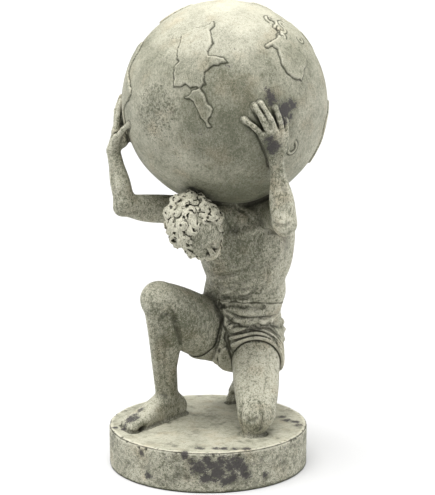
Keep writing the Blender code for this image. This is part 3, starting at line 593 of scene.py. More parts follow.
def lock(clay, scalp, root, heading, length, width, turn, lift):
    """A lock of hair: three strands side by side that leave the scalp, wave and wind up into a curl."""
    axes = frame_of(heading, scalp.slope(root[None])[0])
    share = np.linspace(0, 1, 13)
    angle = turn * share ** 1.9 - 0.2 * turn * np.sin(np.pi * share)
    step = length / 12
    along = np.concatenate([[0], np.cumsum(np.cos(angle[:-1]))]) * step
    aside = np.concatenate([[0], np.cumsum(np.sin(angle[:-1]))]) * step
    spread = width * (0.35 + 0.65 * np.sin(np.pi * (0.15 + 0.6 * share))) * (1 - 0.4 * share ** 2)
    flats = []
    for place in (-1, 0, 1):
        off = place * spread * 0.72
        flats.append(root + np.outer(along - off * np.sin(angle), axes[0])
                     + np.outer(aside + off * np.cos(angle), axes[1]))
    flats = scalp.settle(np.concatenate(flats))
    ways = scalp.slope(flats)
    for i, place in enumerate((-1, 0, 1)):
        own = slice(i * 13, i * 13 + 13)
        rise = (0.6 + lift * share ** 0.9) * (1 - 0.1 * place ** 2) + 0.7 * place * np.sign(turn) * share
        line = flats[own] + ways[own] * rise[:, None]
        radii = 0.40 * spread + 0.15
        for j in range(12):
            clay.add(bone(line[j], line[j + 1], radii[j], radii[j + 1]), 0.25, 1.2)


def face(clay):
    """Skull, jaw and calm, evenly spaced features."""
    big = HEAD_SIZE
    clay.add(egg(on_head(0, -2, 7), (26 * big, 22.5 * big, 28 * big), HEAD_AXES), 6)
    clay.add(egg(on_head(0, 9, -14), (18 * big, 15.5 * big, 15.5 * big), HEAD_AXES), 8)
    brow = [on_head(-14, 18.5, 4.5), on_head(-6, 24, 6), on_head(6, 24, 6), on_head(14, 18.5, 4.5)]
    clay.add(strand(brow, 3.2), 3)
    clay.add(strand([on_head(0, 24, 4), on_head(0, 28, -4), on_head(0, 31, -10)], [2.2, 2.5, 3.4]), 2.5)
    for side in (-1, 1):
        clay.add(ball(on_head(side * 3.4, 27.5, -11.5), 2.5), 1.5)
        clay.carve(ball(on_head(side * 8, 25, 0), 4.6), 3)
        clay.add(ball(on_head(side * 8, 19.4, -0.6), 4.8), 1)
        for up, end in ((2.3, 0.3), (-2.6, -1.2)):
            lid = [on_head(side * 3.5, 22, 0.2), on_head(side * 8, 24, up), on_head(side * 12.5, 20, end)]
            clay.add(strand(lid, 1.1), 0.8)
        clay.add(ball(on_head(side * 12.5, 15.5, -6.5), 6.6), 5)
        clay.add(egg(on_head(side * 22, -1, -3), (7.5, 2.8, 5), HEAD_AXES), 2)
    for up, size in ((-18, 1.7), (-20.8, 1.9)):
        clay.add(strand([on_head(-5, 24.5, up), on_head(0, 26.5, up), on_head(5, 24.5, up)], size), 1.2)


HAIR_SEED = 4


def hairy(way):
    """Whether hair grows in a direction from the middle of the head."""
    return way @ FACE < 0.60 + 0.25 * abs(way @ SIDEWAYS) or way @ CROWN > 0.80


def swirl(count, reach):
    """Directions from the middle of the head, evenly spread out from the crown, the lowest first."""
    golden = np.pi * (3 - np.sqrt(5))
    for i in reversed(range(count)):
        height = 1 - reach * (i + 0.5) / count
        ring = np.sqrt(1 - height ** 2)
        way = CROWN * height + ring * (np.cos(golden * i) * SIDEWAYS + np.sin(golden * i) * FACE)
        if hairy(way):
            yield way


def hair(clay):
    """Thick locks that swirl out from the crown and curl up over each other, and a short beard."""
    draw = np.random.default_rng(HAIR_SEED)
    scalp = clay.copy()
    middle = on_head(0, -2, 7)
    for count, lift, length, width in ((150, 1.0, 12, 3.0), (105, 4.0, 17, 3.0)):
        for way in swirl(count, 1.5):
            root = scalp.settle([middle + way * 24])[0]
            out = unit(way - 1.2 * CROWN + draw.normal(size=3) * 0.55
                       + np.cross(CROWN, way) * draw.uniform(-0.6, 1.2))
            lock(clay, scalp, root, out, length * draw.uniform(0.8, 1.3), width * draw.uniform(0.8, 1.15),
                 draw.choice((-1, 1)) * draw.uniform(1.5, 5.4), lift * draw.uniform(0.7, 1.2))
    for way in swirl(46, 1.4):
        way = unit(way + draw.normal(size=3) * 0.12)
        start = scalp.settle([middle + way * 24], 0.8)[0]
        end = start + way * 9 + draw.normal(size=3) * 2.5
        clay.carve(bone(start, end, draw.uniform(0.9, 1.7), 2.4), 0.6)
    for row, up in enumerate((-6, -13, -19, -25)):
        for share in np.linspace(-1, 1, 11 - row):
            if (row < 2 and abs(share) < 0.62) or (row == 2 and abs(share) < 0.25):
                continue
            swing = share * 1.75
            spot = on_head(np.sin(swing) * (18 - row * 2), 8 + np.cos(swing) * (15 - row), up)
            root = scalp.settle([spot])[0]
            way = -CROWN + 0.35 * FACE - 0.5 * np.sign(share) * SIDEWAYS * (abs(share) - 0.3)
            lock(clay, scalp, root, way, draw.uniform(9, 13), draw.uniform(2.0, 2.6),
                 draw.choice((-1, 1)) * draw.uniform(1.5, 4.0), 2.5)
    for side in (-1, 1):
        line = [on_head(side, 26.8, -14.6), on_head(side * 5, 25, -16), on_head(side * 9.5, 20.5, -20)]
        clay.add(strand(line, [1.8, 2.5, 1.6]), 1)


# Furrows between the muscles, each with its points, its radius and how deep it bites.
FURROWS = (
    (((-53, -33, 124), (-47, -37, 131), (-41, -35, 133), (-36, -29, 125), (-33, -21, 111), (-30, -9, 92)),
     2.4, 1.9),
    (((-49, -29, 119), (-47, -18, 93), (-47, -6, 61), (-45, 6, 33)), 2.0, 0.9),
    (((-62, -40, 148), (-58, -41, 138), (-48, -39, 136)), 2.2, 1.0),
    (((-34, -29, 150), (-20, -17, 140), (-5, -5, 120), (2, 5, 99)), 3.0, 0.8),
    (((0, 17, 168), (13, 3, 166), (33, -9, 172), (46, -13, 178)), 2.2, 1.3),
    (((2, 20, 154), (15, 1, 156), (37, -7, 160), (53, -10, 168)), 2.2, 1.2),
    (((3, 24, 142), (22, 8, 141), (46, 4, 145), (61, -3, 157)), 2.6, 1.5),
    (((17, -31, 242), (23, -28, 231), (31, -18, 220)), 2.2, 1.4),
    (((30, -17, 246), (39, -12, 235), (52, -15, 229)), 2.6, 1.2),
    (((59, -24, 222), (54, -23, 207), (59, -20, 191)), 3.0, 1.2),
    (((20, -14, 206), (31, -17, 199), (43, -20, 199)), 2.4, 0.9),
    (((22, -13, 195), (35, -15, 188), (48, -19, 190)), 2.4, 0.9),
    (((26, -10, 183), (39, -13, 179), (52, -14, 183)), 2.2, 0.8),
    (((61, -19, 190), (66, -7, 168), (61, 7, 142)), 3.0, 1.1),
    (((38, -51, 36), (35, -54, 23), (38, -52, 9)), 2.0, 1.5),
    (((55, -56, 39), (59, -63, 27), (56, -58, 9)), 2.0, 1.4),
    (((40, -59, 26), (45, -63, 20), (53, -64, 24)), 1.8, 1.3),
    (((41, -57, 13), (47, -56, 8), (53, -61, 12)), 1.6, 1.2),
    (((45, -4, 81), (42, -22, 66), (43, -43, 47)), 2.8, 0.9),
    (((65, -2, 81), (65, -26, 61), (60, -48, 45)), 2.8, 0.9),
    (((66, -79, 293), (66, -84, 275), (69, -90, 258)), 1.8, 1.0),
    (((77, -84, 286), (80, -89, 272), (81, -92, 258)), 1.8, 1.0),
    (((68, -88, 241), (76, -97, 237), (85, -96, 241)), 1.8, 1.2),
    (((-103, -9, 290), (-102, -15, 269), (-98, -18, 250)), 2.0, 1.0),
    (((-94, -17, 238), (-79, -13, 239), (-63, -7, 241)), 2.4, 1.0),
)


def furrows(clay):
    for points, radius, bite in FURROWS:
        line = clay.settle(curve(np.array(points, float), 4), 1.1 * radius - 1.5 * bite)
        clay.carve(strand(line, 1.1 * radius * fade_ends(len(line)), 1), 1.8)


@functools.cache
def wash_and_shade_lines(cell):
    """Points on the furrows and grooves, where dark antiquing has stayed and also stands for painted shade,
    and how much of it.
    """
    body, sheet = bare_body(cell), loincloth_clay(cell)
    lines = [(body, points, 0.26 * bite) for points, _, bite in FURROWS]
    lines += [(sheet, points, 0.7) for points in GROOVES]
    points = [clay.settle(curve(np.array(points, float), 16)) for clay, points, _ in lines]
    strength = np.concatenate([part[2] * fade_ends(len(line)) for part, line in zip(lines, points)])
    points = np.concatenate(points)
    tree = KDTree(len(points))
    for i, point in enumerate(points):
        tree.insert(point, i)
    tree.balance()
    return tree, strength


def to_plinth(x, y, z):
    return z + 0 * x + 0 * y


def to_globe(x, y, z):
    return np.sqrt((x - GLOBE[0]) ** 2 + (y - GLOBE[1]) ** 2 + (z - GLOBE[2]) ** 2) - GLOBE_R


@functools.cache
def bare_body(cell):
    clay = Clay(BLOCK_LOW, BLOCK_HIGH, cell)
    torso(clay)
    for side, bend in (("right", (0.75, 0.1, 0.75)), ("left", (0, 0.8, 0.6))):
        leg(clay, side)
        arm(clay, side, bend)
    feet(clay)
    hands(clay)
    furrows(clay)
    clay.add(bone((50, -43, 15), (49, -45, 0), 14, 12), 6)
    clay.add(bone((-37, 33, 1), (-77, -15, 0), 10.5, 12), 6)
    return clay


@functools.cache
def run_out_body(cell):
    """The body with fillets where it meets the plinth and the globe."""
    clay = bare_body(cell).copy()
    clay.spread(to_plinth, 5, 4)
    clay.spread(to_globe, 5, 4)
    return clay


@functools.cache
def loincloth_clay(cell):
    return wind_cloth(bare_body(cell))


@functools.cache
def head_clay(cell):
    clay = Clay(HEAD_LOW, HEAD_HIGH, cell)
    face(clay)
    hair(clay)
    clay.spread(to_globe, 3, 2)
    return clay


def room_round(points, bare_globe=False):
    """Distance from any point to the nearest part of the statue, or to all of it but the globe."""
    rooms = [clay.depth(points) for clay in (run_out_body(BODY_CELL), loincloth_clay(BODY_CELL))]
    head = head_clay(HEAD_CELL)
    low = head.first * head.cell
    high = low + (np.array(head.field.shape) - 1) * head.cell
    near = np.all((points > low) & (points < high), axis=1)
    rooms.append(np.where(near, head.depth(points), FAR))
    x, y, z = points.T
    if not bare_globe:
        rooms.append(to_globe(x, y, z))
    out = np.hypot(x, y) - PLINTH_RADIUS / UNIT
    rooms.append(np.hypot(np.maximum(z, 0), np.maximum(out, 0)) + np.minimum(np.maximum(z, out), 0))
    return np.min(rooms, axis=0)


# Places where the coat is worn down to its dark base, as middle, reach and strength.
WORN = (
    ((-9, -110, -17), 14, 1.2), ((1, -110, -8), 11, 1.0), ((11, -110, -22), 14, 1.2),
    ((15, -109, -10), 12, 1.0), ((-16, -109, -10), 9, 1.0), ((-2, -110, -26), 10, 1.2),
    ((5, -110, -14), 12, 1.1), ((23, -108, -16), 12, 1.1), ((37, -104, -18), 11, 1.1),
    ((26, -107, -28), 10, 1.2), ((-70, -85, -8), 6, 1.0), ((60, -92, -30), 6, 1.0),
    ((31, -106, -13), 14, 1.2), ((41, -103, -26), 10, 1.0), ((-24, -107, -2), 8, 1.2),
    ((18, -109, -32), 9, 1.1), ((-63, -91, -31), 7, 1.2), ((-9, -92, 0), 8, 1.2), ((9, -94, 0), 7, 1.1),
    ((18, -94, 0), 8, 1.1), ((28, -95, 0), 7, 1.1), ((41, -96, -1), 8, 1.2), ((88, 6, 0), 9, 1.1),
    ((96, 0, 0), 9, 1.2), ((84, 18, 0), 8, 1.0), ((101, -12, -3), 8, 1.0), ((-103, -22, 0), 7, 1.1),
    ((-84, -22, 8), 14, 1.2), ((-94, -29, 4), 9, 1.0), ((-74, -8, 14), 8, 1.2), ((67, -87, 367), 12, 1.2),
    ((65, -87, 375), 9, 1.1), ((80, -80, 355), 14, 1.3), ((88, -73, 360), 10, 1.1),
    ((76, -83, 345), 10, 1.1), ((86, -76, 348), 9, 1.0), ((66, -90, 318), 13, 1.2),
    ((63, -92, 327), 10, 1.1),
)


# Places where the dry brush left more cream, or less of it, or where light and shade are painted in,
# as middle, reach and strength. Painted highlights lie on the globe's top and on the fingers, painted shade
# on the face, the globe's front and the chest under the globe, and painted light fills the shade above the
# collar.
BRUSHED_AND_PAINTED_LIGHT = (
    ((52, -22, 60), 48, 0.9), ((50, -60, 18), 22, 0.5), ((-75, -6, 10), 34, 0.8),
    ((-60, -40, 158), 22, 0.2), ((80, 5, 205), 40, 0.5), ((80, -90, 250), 34, 0.4),
    ((88, 25, 150), 34, 0.5), ((-20, -85, 250), 32, 0.4), ((72, 20, 120), 30, 0.4),
    ((18, -10, 470), 100, 1.2), ((30, -15, 195), 42, -0.5), ((20, -10, 130), 40, -0.3),
    ((-20, -15, 118), 40, -0.7), ((-46, -15, 80), 34, -0.4), ((78, -104, 338), 24, 1.1),
    ((58, -106, 358), 22, 1.1), ((22, 6, 84), 20, -0.5), ((20, -92, 352), 62, -0.65),
    ((-7, -84, 212), 22, -0.9), ((70, -78, 352), 30, -0.5), ((42, -15, 231), 24, 0.9),
    ((-30, -22, 112), 34, -0.5), ((40, -20, 222), 36, -0.3), ((-48, -36, 128), 20, -0.5),
    ((45, -68, 12), 14, -1.5), ((58, -66, 7), 10, -1.3), ((54, -18, 60), 30, -0.25),
    ((30, -40, 262), 60, -0.8), ((40, -60, 320), 46, -0.6), ((-25, -45, 226), 20, -0.2),
    ((70, -90, 320), 22, -0.5),
)


# Meshes


def shape_mesh(name, points, faces, triangles=0):
    """A mesh from points in the figure's units, brought down to a number of triangles."""
    mesh = bpy.data.meshes.new(name)
    mesh.from_pydata((points * UNIT + (0, 0, PLINTH_HEIGHT)).tolist(), [], faces)
    full = sum(len(f) - 2 for f in faces)
    if 0 < triangles < full:
        rough = bpy.data.objects.new(name, mesh)
        bpy.context.collection.objects.link(rough)
        fewer = rough.modifiers.new("Fewer faces", "DECIMATE")
        fewer.ratio = triangles / full
        fewer = rough.evaluated_get(bpy.context.evaluated_depsgraph_get())
        fewer_mesh = bpy.data.meshes.new_from_object(fewer)
        bpy.data.objects.remove(rough)
        bpy.data.meshes.remove(mesh)
        mesh = fewer_mesh
        mesh.name = name
    mesh.shade_smooth()
    return mesh


def numbers(collection, name, width):
    values = np.empty(len(collection) * width, np.float32)
    collection.foreach_get(name, values)
    return values.reshape(-1, width)


def figure_points(mesh):
    return (numbers(mesh.vertices, "co", 3) - (0, 0, PLINTH_HEIGHT)) / UNIT


# Reaches of the marks for how deep a point lies. The hollow mark is dark antiquing in crevices and painted
# shade where parts meet or lie close. The deep mark is painted shade under and between parts.
HOLLOW_REACHES = (("hollow", 1.4), ("deep", 6.0))
RIDGE_REACH = 3.0
WASH_WIDTH = 2.1


def write_marks(mesh, coast=None, rough=None, curl=None, calm=0.0, wash_and_shade=False, cream_and_painted_light=0.0):
    """Stores on each point how deep it lies between its neighbours, as antiquing and painted shade, how far
    it stands out, as dry brushing and painted highlight, and its wear.
    """
    points = figure_points(mesh)
    normals = numbers(mesh.vertex_normals, "vector", 3)
    marks = {}
    # How little room lies out from each point: painted shade, and dark antiquing in crevices.
    for name, reach in HOLLOW_REACHES:
        room = room_round(points + normals * reach, coast is not None)
        marks[name] = np.clip(1 - room / reach, 0, 1)
    # Edges that stand out are lightened: dry-brush cream and a painted highlight.
    marks["ridge"] = np.clip(1 + room_round(points - normals * RIDGE_REACH) / RIDGE_REACH, 0, 1)
    # Dark antiquing along the furrows and grooves, which is also painted shade in these creases.
    if wash_and_shade:
        tree, strength = wash_and_shade_lines(BODY_CELL)
        _, index, off = zip(*[tree.find(point) for point in points])
        furrow_wash_and_shade = strength[list(index)] * np.exp(-(np.array(off) / WASH_WIDTH) ** 2)
        marks["hollow"] = np.maximum(marks["hollow"], furrow_wash_and_shade)
    # On the globe: painted shade at the foot of each coast and beside each curl, and a painted highlight
    # on the raised edges of the lands and curls.
    if coast is not None:
        marks["hollow"] = np.maximum(marks["hollow"], 0.75 * np.exp(-((coast + 0.30) / 0.40) ** 2))
        marks["hollow"] = np.maximum(marks["hollow"], 0.7 * np.exp(-((curl - 1.15) / 0.45) ** 2))
        marks["ridge"] = 0.6 * np.exp(-((coast - 0.55) / 0.45) ** 2) + 0.6 * np.exp(-(curl / 0.5) ** 2)
    wear = np.zeros(len(points))
    for middle, reach, strength in WORN:
        off = np.linalg.norm(points - middle, axis=1) / reach
        wear = np.maximum(wear, strength * (1 - off))
    marks["worn"] = np.clip(wear, 0, 1.2)
    marks["calm"] = np.zeros(len(points)) + calm
    # The brushed mark holds dry-brush cream and also painted highlights and painted shade.
    marks["brushed"] = np.zeros(len(points)) + cream_and_painted_light
    for middle, reach, strength in BRUSHED_AND_PAINTED_LIGHT:
        off = np.linalg.norm(points - middle, axis=1) / reach
        marks["brushed"] += strength * np.clip(1 - off, 0, 1) ** 0.7
    if rough is not None:
        marks["rough"] = rough
    for name, values in marks.items():
        mesh.attributes.new(name, "FLOAT", "POINT").data.foreach_set("value", values.astype(np.float32))


def place(mesh, material):
    """Puts a finished mesh in the scene in place of the plain solid."""
    for old in [o for o in bpy.data.objects if o.name == mesh.name]:
        bpy.data.objects.remove(old)
    piece = bpy.data.objects.new(mesh.name, mesh)
    bpy.context.scene.collection.objects.link(piece)
    mesh.materials.clear()
    mesh.materials.append(material)
    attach(piece, "root")
    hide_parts(NODE)


def ways_of_globe(subdivisions):
    shape = bmesh.new()
    bmesh.ops.create_icosphere(shape, subdivisions=subdivisions, radius=1)
    mesh = bpy.data.meshes.new("ways")
    shape.to_mesh(mesh)
    shape.free()
    ways = numbers(mesh.vertices, "co", 3).astype(float)
    faces = numbers(mesh.polygons, "vertices", 3).astype(int)
    bpy.data.meshes.remove(mesh)
    return ways / np.linalg.norm(ways, axis=1, keepdims=True), faces.tolist()


def waves(ways, count, fineness, seed):
    """A smooth random height on a sphere, from sums of plane waves."""
    draw = np.random.default_rng(seed)
    total = 0.0
    for _ in range(count):
        wave = unit(draw.normal(size=3)) * fineness * draw.uniform(0.6, 1.5)
        total = total + np.cos(ways @ wave * 2 * np.pi
                               + draw.uniform(0, 2 * np.pi))
    return total / np.sqrt(count / 2)


def coast_distance(east, north, outline):
    """Degrees to an outline, above 0 inside it."""
    inside = np.zeros(len(east), bool)
    best = np.full(len(east), 90.0)
    squeeze = np.cos(np.radians(north))
    for (x0, y0), (x1, y1) in zip(outline, outline[1:] + outline[:1]):
        crosses = (y0 > north) != (y1 > north)
        inside ^= crosses & (east < x0 + (north - y0) * (x1 - x0) / (y1 - y0 if y1 != y0 else 1))
        dx, dy = (x1 - x0) * squeeze, y1 - y0
        px, py = (east - x0) * squeeze, north - y0
        t = np.clip((px * dx + py * dy) / np.maximum(dx ** 2 + dy ** 2, 1e-9), 0, 1)
        best = np.minimum(best, np.hypot(px - t * dx, py - t * dy))
    return np.where(inside, best, -best)


def far_land(ways, middle, half_size, seed):
    """Degrees to the wandering coast of a land round its middle, above 0 inside it."""
    draw = np.random.default_rng(seed)
    east, north = np.radians(middle)
    centre = np.array((np.sin(east) * np.cos(north), -np.cos(east) * np.cos(north), np.sin(north)))
    axes = frame_of(np.cross(centre, UP), centre)
    off = np.degrees(np.arccos(np.clip(ways @ centre, -1, 1)))
    turn = np.arctan2(ways @ axes[1], ways @ axes[0])
    coast = 1.0
    for count in range(2, 9):
        size = 0.42 / count ** 0.8 * draw.uniform(0.4, 1)
        coast = coast + size * np.cos(count * turn + draw.uniform(0, 6.28))
    return half_size * coast - off


# Small raised curls on the globe, as east, north, radius, first turn and sweep in degrees.
CURLS = ((47.9, 54.6, 3.2, -30, 250), (47.4, 46.0, 2.6, 100, 260), (44.1, 40.7, 2.2, -60, 240),
         (56.0, 49.5, 3.0, 20, 230), (61.5, 38.6, 2.4, 150, 220), (41.3, -21.8, 3.6, 160, 270))


def curl_distance(east, north):
    """Degrees to the nearest curl line, each of which opens as it winds."""
    best = np.full(len(east), 90.0)
    for middle_east, middle_north, radius, first, sweep in CURLS:
        dx, dy = (east - middle_east) * np.cos(np.radians(north)), north - middle_north
        share = np.mod(np.degrees(np.arctan2(dy, dx)) - first, 360) / sweep
        off = np.abs(np.hypot(dx, dy) - radius * (0.45 + 0.75 * np.minimum(share, 1)))
        best = np.minimum(best, np.where(share < 1, off, 90))
    return best


def globe_relief(ways):
    """For each point: degrees to the nearest coast, above 0 on land, how pitted it is, degrees to a curl."""
    east = np.degrees(np.arctan2(ways[:, 0], -ways[:, 1]))
    north = np.degrees(np.arcsin(np.clip(ways[:, 2], -1, 1)))
    jagged = 0.5 * waves(ways, 24, 9, 3) + 0.25 * waves(ways, 24, 20, 4)
    coast = np.max([coast_distance(east, north, o) + 0.5 * jagged for o in LANDS]
                   + [far_land(ways, *land) + jagged for land in FAR_LANDS], axis=0)
    off = np.hypot((east + 42) / 17, (north + 2) / 19)
    return coast, np.clip(1.5 * (1 - off) + 0.2 * jagged, 0, 1), curl_distance(east, north)


GLOBE_TRIANGLES = 190000


def globe_mesh(land_height):
    """A ball whose lands stand out from it, with a pitted patch at the lower left."""
    ways, faces = ways_of_globe(8)
    coast, rough, curl = globe_relief(ways)
    edge = np.clip((coast + 0.25) / 0.9, 0, 1)
    height = land_height * edge * edge * (3 - 2 * edge)
    height += 0.25 * np.exp(-((coast - 0.9) / 0.7) ** 2) - 0.25 * np.exp(-((coast + 0.7) / 0.6) ** 2)
    height = np.maximum(height, 1.3 * np.exp(-(curl / 0.55) ** 2)) + 0.12 * waves(ways, 20, 3, 5)
    pits = waves(ways, 40, 34, 6)
    height -= rough * np.clip(pits - 0.6, 0, 1.2) * 0.7
    points = GLOBE + ways * (GLOBE_R + height)[:, None]
    return shape_mesh("globe", points, faces, GLOBE_TRIANGLES)


def plinth_mesh():
    """A turned disc with rounded, worn rims above and below."""
    corner = np.linspace(0, np.pi / 2, 7)
    rim = PLINTH_RADIUS - PLINTH_EDGE * (1 - np.sin(corner))
    low = PLINTH_EDGE * (1 - np.cos(corner))
    radii = np.concatenate([np.linspace(0.004, rim[0], 50)[:-1], rim, [rim[-1]] * 34, rim[::-1],
                            np.linspace(rim[0], 0.002, 84)[1:]])
    heights = np.concatenate([[0.0] * 49, low, np.linspace(low[-1], PLINTH_HEIGHT - low[-1], 36)[1:-1],
                              PLINTH_HEIGHT - low[::-1], [PLINTH_HEIGHT] * 83])
    sides = PLINTH_SIDES
    turns = np.arange(sides) * 2 * np.pi / sides
    points = np.stack([np.outer(radii, np.cos(turns)), np.outer(radii, np.sin(turns)),
                       np.repeat(heights[:, None], sides, axis=1)], axis=2).reshape(-1, 3)
    rows = np.arange(len(radii) - 1)[:, None] * sides
    here, further = np.arange(sides), (np.arange(sides) + 1) % sides
    faces = np.stack([rows + here, rows + further, rows + sides + further, rows + sides + here], axis=2)
    faces = faces.reshape(-1, 4).tolist()
    faces.append(list(range(sides))[::-1])
    faces.append([(len(radii) - 1) * sides + i for i in range(sides)])
    points = (points - (0, 0, PLINTH_HEIGHT)) / UNIT
    dents = 0.15 * waves(points / 40, 30, 1.2, 11) + 0.1 * waves(points / 40, 30, 4, 12)
    out = np.hypot(points[:, 0], points[:, 1])
    at_rim = np.exp(-((out - PLINTH_RADIUS / UNIT) ** 2 + points[:, 2] ** 2) / 20)
    chips = np.clip(waves(points / 40, 30, 7, 13) - 1.1, 0, 1) * at_rim
    out = out[:, None]
    inward = np.column_stack([-points[:, 0], -points[:, 1], 0 * out]) / np.maximum(out, 1)
    upper = (points[:, 2] > -PLINTH_HEIGHT / UNIT + 1)[:, None]
    points = points + upper * (inward * (0.15 + np.abs(dents) + chips * 1.2)[:, None]
                               - UP * (0.1 + np.clip(dents, 0, 1) + chips)[:, None])
    return shape_mesh("plinth", points, faces)


# Materials


class Value:
    """A socket that takes part in Python sums."""

    def __init__(self, finish, socket):
        self.finish, self.socket = finish, socket

    def sum(self, operation, *values):
        return self.finish.node("ShaderNodeMath", {"operation": operation}, dict(enumerate(values)))

    def __add__(self, other):
        return self.sum("ADD", self, other)

    def __sub__(self, other):
        return self.sum("SUBTRACT", self, other)

    def __rsub__(self, other):
        return self.sum("SUBTRACT", other, self)

    def __mul__(self, other):
        return self.sum("MULTIPLY", self, other)

    __radd__ = __add__
    __rmul__ = __mul__

    def rise(self, low, high):
        """0 below low, 1 above high and a smooth step between them."""
        ends = {"Value": self, "From Min": low, "From Max": high}
        return self.finish.node("ShaderNodeMapRange", {"interpolation_type": "SMOOTHSTEP"}, ends)


class Finish:
    """One material and its nodes."""

    def __init__(self, name):
        self.material = bpy.data.materials.get(name) or bpy.data.materials.new(name)
        self.material.use_nodes = True
        self.tree = self.material.node_tree
        self.tree.nodes.clear()
        self.shader = self.tree.nodes.new("ShaderNodeBsdfPrincipled")
        output = self.tree.nodes.new("ShaderNodeOutputMaterial")
        self.tree.links.new(self.shader.outputs["BSDF"], output.inputs["Surface"])

    def node(self, kind, settings=None, sockets=None, out=0):
        made = self.tree.nodes.new(kind)
        for name, value in (settings or {}).items():
            setattr(made, name, value)
        for name, value in (sockets or {}).items():
            self.feed(made.inputs[name], value)
        return Value(self, made.outputs[out])

    def feed(self, socket, value):
        if isinstance(value, Value):
            self.tree.links.new(value.socket, socket)
        else:
            socket.default_value = value

    def mark(self, name):
        return self.node("ShaderNodeAttribute", {"attribute_name": name}, out="Fac")

    def grain(self, where, scale, detail, roughness, distortion=0.0):
        sockets = {"Vector": where, "Scale": scale, "Detail": detail, "Roughness": roughness,
                   "Distortion": distortion}
        return self.node("ShaderNodeTexNoise", {}, sockets, "Fac")

    def stretch(self, where, sizes):
        return self.node("ShaderNodeVectorMath", {"operation": "MULTIPLY"}, {0: where, 1: sizes})

    def blend(self, share, first, second, mode="MIX"):
        settings = {"data_type": "RGBA", "blend_type": mode, "clamp_factor": True}
        return self.node("ShaderNodeMix", settings, {0: share, 6: first, 7: second}, 2)


def linear(colour):
    """A colour given in screen values of 11 to 255, as light."""
    return tuple(((c / 255 + 0.055) / 1.055) ** 2.4 for c in colour)


# Scale, detail, roughness and distortion of the speck, grit, blotch and cloud, then of strokes and scratches.
GRAINS = ((1000, 2, 0.7), (330, 6, 0.85), (150, 4, 0.65), (34, 3, 0.55))
STROKES = (420, 4, 0.75, 1.6)
SCRATCHES = (950, 2, 0.6, 0.8)


def aged_stone(name, looks, pale=0.0, brushed=(1, 1, 0.45), rough=False):
    """Cast stone under a grey green coat: dark in its hollows from antiquing and painted shade, pale where a
    dry brush has touched it or a highlight is painted.
    """
    finish = Finish(name)
    where = finish.node("ShaderNodeTexCoord", out="Object")
    names = ("hollow", "deep", "ridge", "worn", "calm", "brushed")
    hollow, deep, ridge, worn, calm, brushed_and_painted_light = map(finish.mark, names)
    speck, grit, blotch, cloud = (finish.grain(where, *sizes) for sizes in GRAINS)
    strokes = finish.grain(finish.stretch(where, brushed), *STROKES)
    stipple = (speck - 0.5) * 4.6 + (grit - 0.5) * 8.4
    scratch = finish.grain(finish.stretch(where, (1, 1, 0.22)), *SCRATCHES).rise(0.56, 0.68)
    light = (cloud - 0.5) * 1.8 + (blotch - 0.5) * (2.8 - calm * 2.4) + (strokes - 0.5) * (6.6 - calm * 6.0)
    light = light + (stipple + scratch * 0.9) * (1 - calm)
    # Lighter on ridges from dry brushing and a painted highlight, darker in hollows from antiquing and
    # painted shade,
    # and lighter or darker where brushed or where light and shade are painted in.
    light = light + ridge * 1.2 - hollow * 1.0 + brushed_and_painted_light + pale
    pits = 0.0
    if rough:
        pits = finish.grain(where, 420, 2, 0.6, 1.2).rise(0.585, 0.64) * finish.mark("rough").rise(0.1, 0.5)
        light = light - pits * 1.6 + (grit - 0.5) * finish.mark("rough") * 3.0
    tones = (looks.shade_tone, looks.pale_tone, looks.dark_tone, looks.warm_tone, looks.bare_tone)
    shade, pale_coat, wash_and_shade, stain, base = ((*tone, 1) for tone in tones)
    colour = finish.blend(light.rise(-1.6, 1.6), shade, pale_coat)
    warm = finish.grain(where, 40, 2, 0.5).rise(0.50, 0.75) * 0.3
    colour = finish.blend(warm, colour, stain, "MULTIPLY")
    # Dark: antiquing and painted shade from the hollow mark, painted shade from the deep mark, broken by
    # specks.
    dark = (hollow * 1.5 + deep * deep * 0.5 + (speck - 0.5) * 1.2 + (blotch - 0.5) * 0.9).rise(0.15, 1.2)
    colour = finish.blend(dark * 0.9, colour, wash_and_shade)
    fleck = (speck * 0.6 + grit * 0.6).rise(0.66, 0.76) * (1 - calm) * 0.7
    colour = finish.blend(fleck, colour, wash_and_shade)
    bare = (worn + (blotch - 0.5) * 1.6 + (grit - 0.5) * 2.6 + (strokes - 0.5) * 2.2).rise(0.42, 0.6)
    colour = finish.blend(bare * 0.92, colour, base)
    finish.feed(finish.shader.inputs["Base Color"], colour)
    finish.feed(finish.shader.inputs["Roughness"], 0.62 + dark * 0.2 + (grit - 0.5) * 0.15)
    finish.shader.inputs["Specular IOR Level"].default_value = 0.35
    relief = (grit * 1.1 + speck * 0.5) * (1 - calm * 0.7) + blotch * 0.5 + strokes * 0.4 - bare * 0.25
    relief = relief - pits * 2.6
    bump = finish.node("ShaderNodeBump", {}, {"Strength": 0.8, "Distance": 0.0009, "Height": relief})
    finish.feed(finish.shader.inputs["Normal"], bump)
    return finish.material


def side_light(name, power):
    light = bpy.data.lights.new(name, "AREA")
    light.shape, light.size, light.energy = "DISK", 0.9, power
    return light


def floor_mesh(tone):
    """A flat floor whose banks rise all round it, past the horizon."""
    mesh = bpy.data.meshes.new("floor")
    corners = ((-1, -1), (1, -1), (1, 1), (-1, 1))
    points = [(x * reach, y * reach, z) for reach, z in ((FLAT, 0), (WIDE, BANK)) for x, y in corners]
    banks = [(i, i + 4, (i + 1) % 4 + 4, (i + 1) % 4) for i in range(4)]
    mesh.from_pydata(points, [], [(0, 1, 2, 3)] + banks)
    finish = Finish("pale_floor")
    finish.shader.inputs["Base Color"].default_value = tuple(tone) + (1,)
    finish.shader.inputs["Roughness"].default_value = 0.9
    mesh.materials.append(finish.material)
    return mesh


# Settings

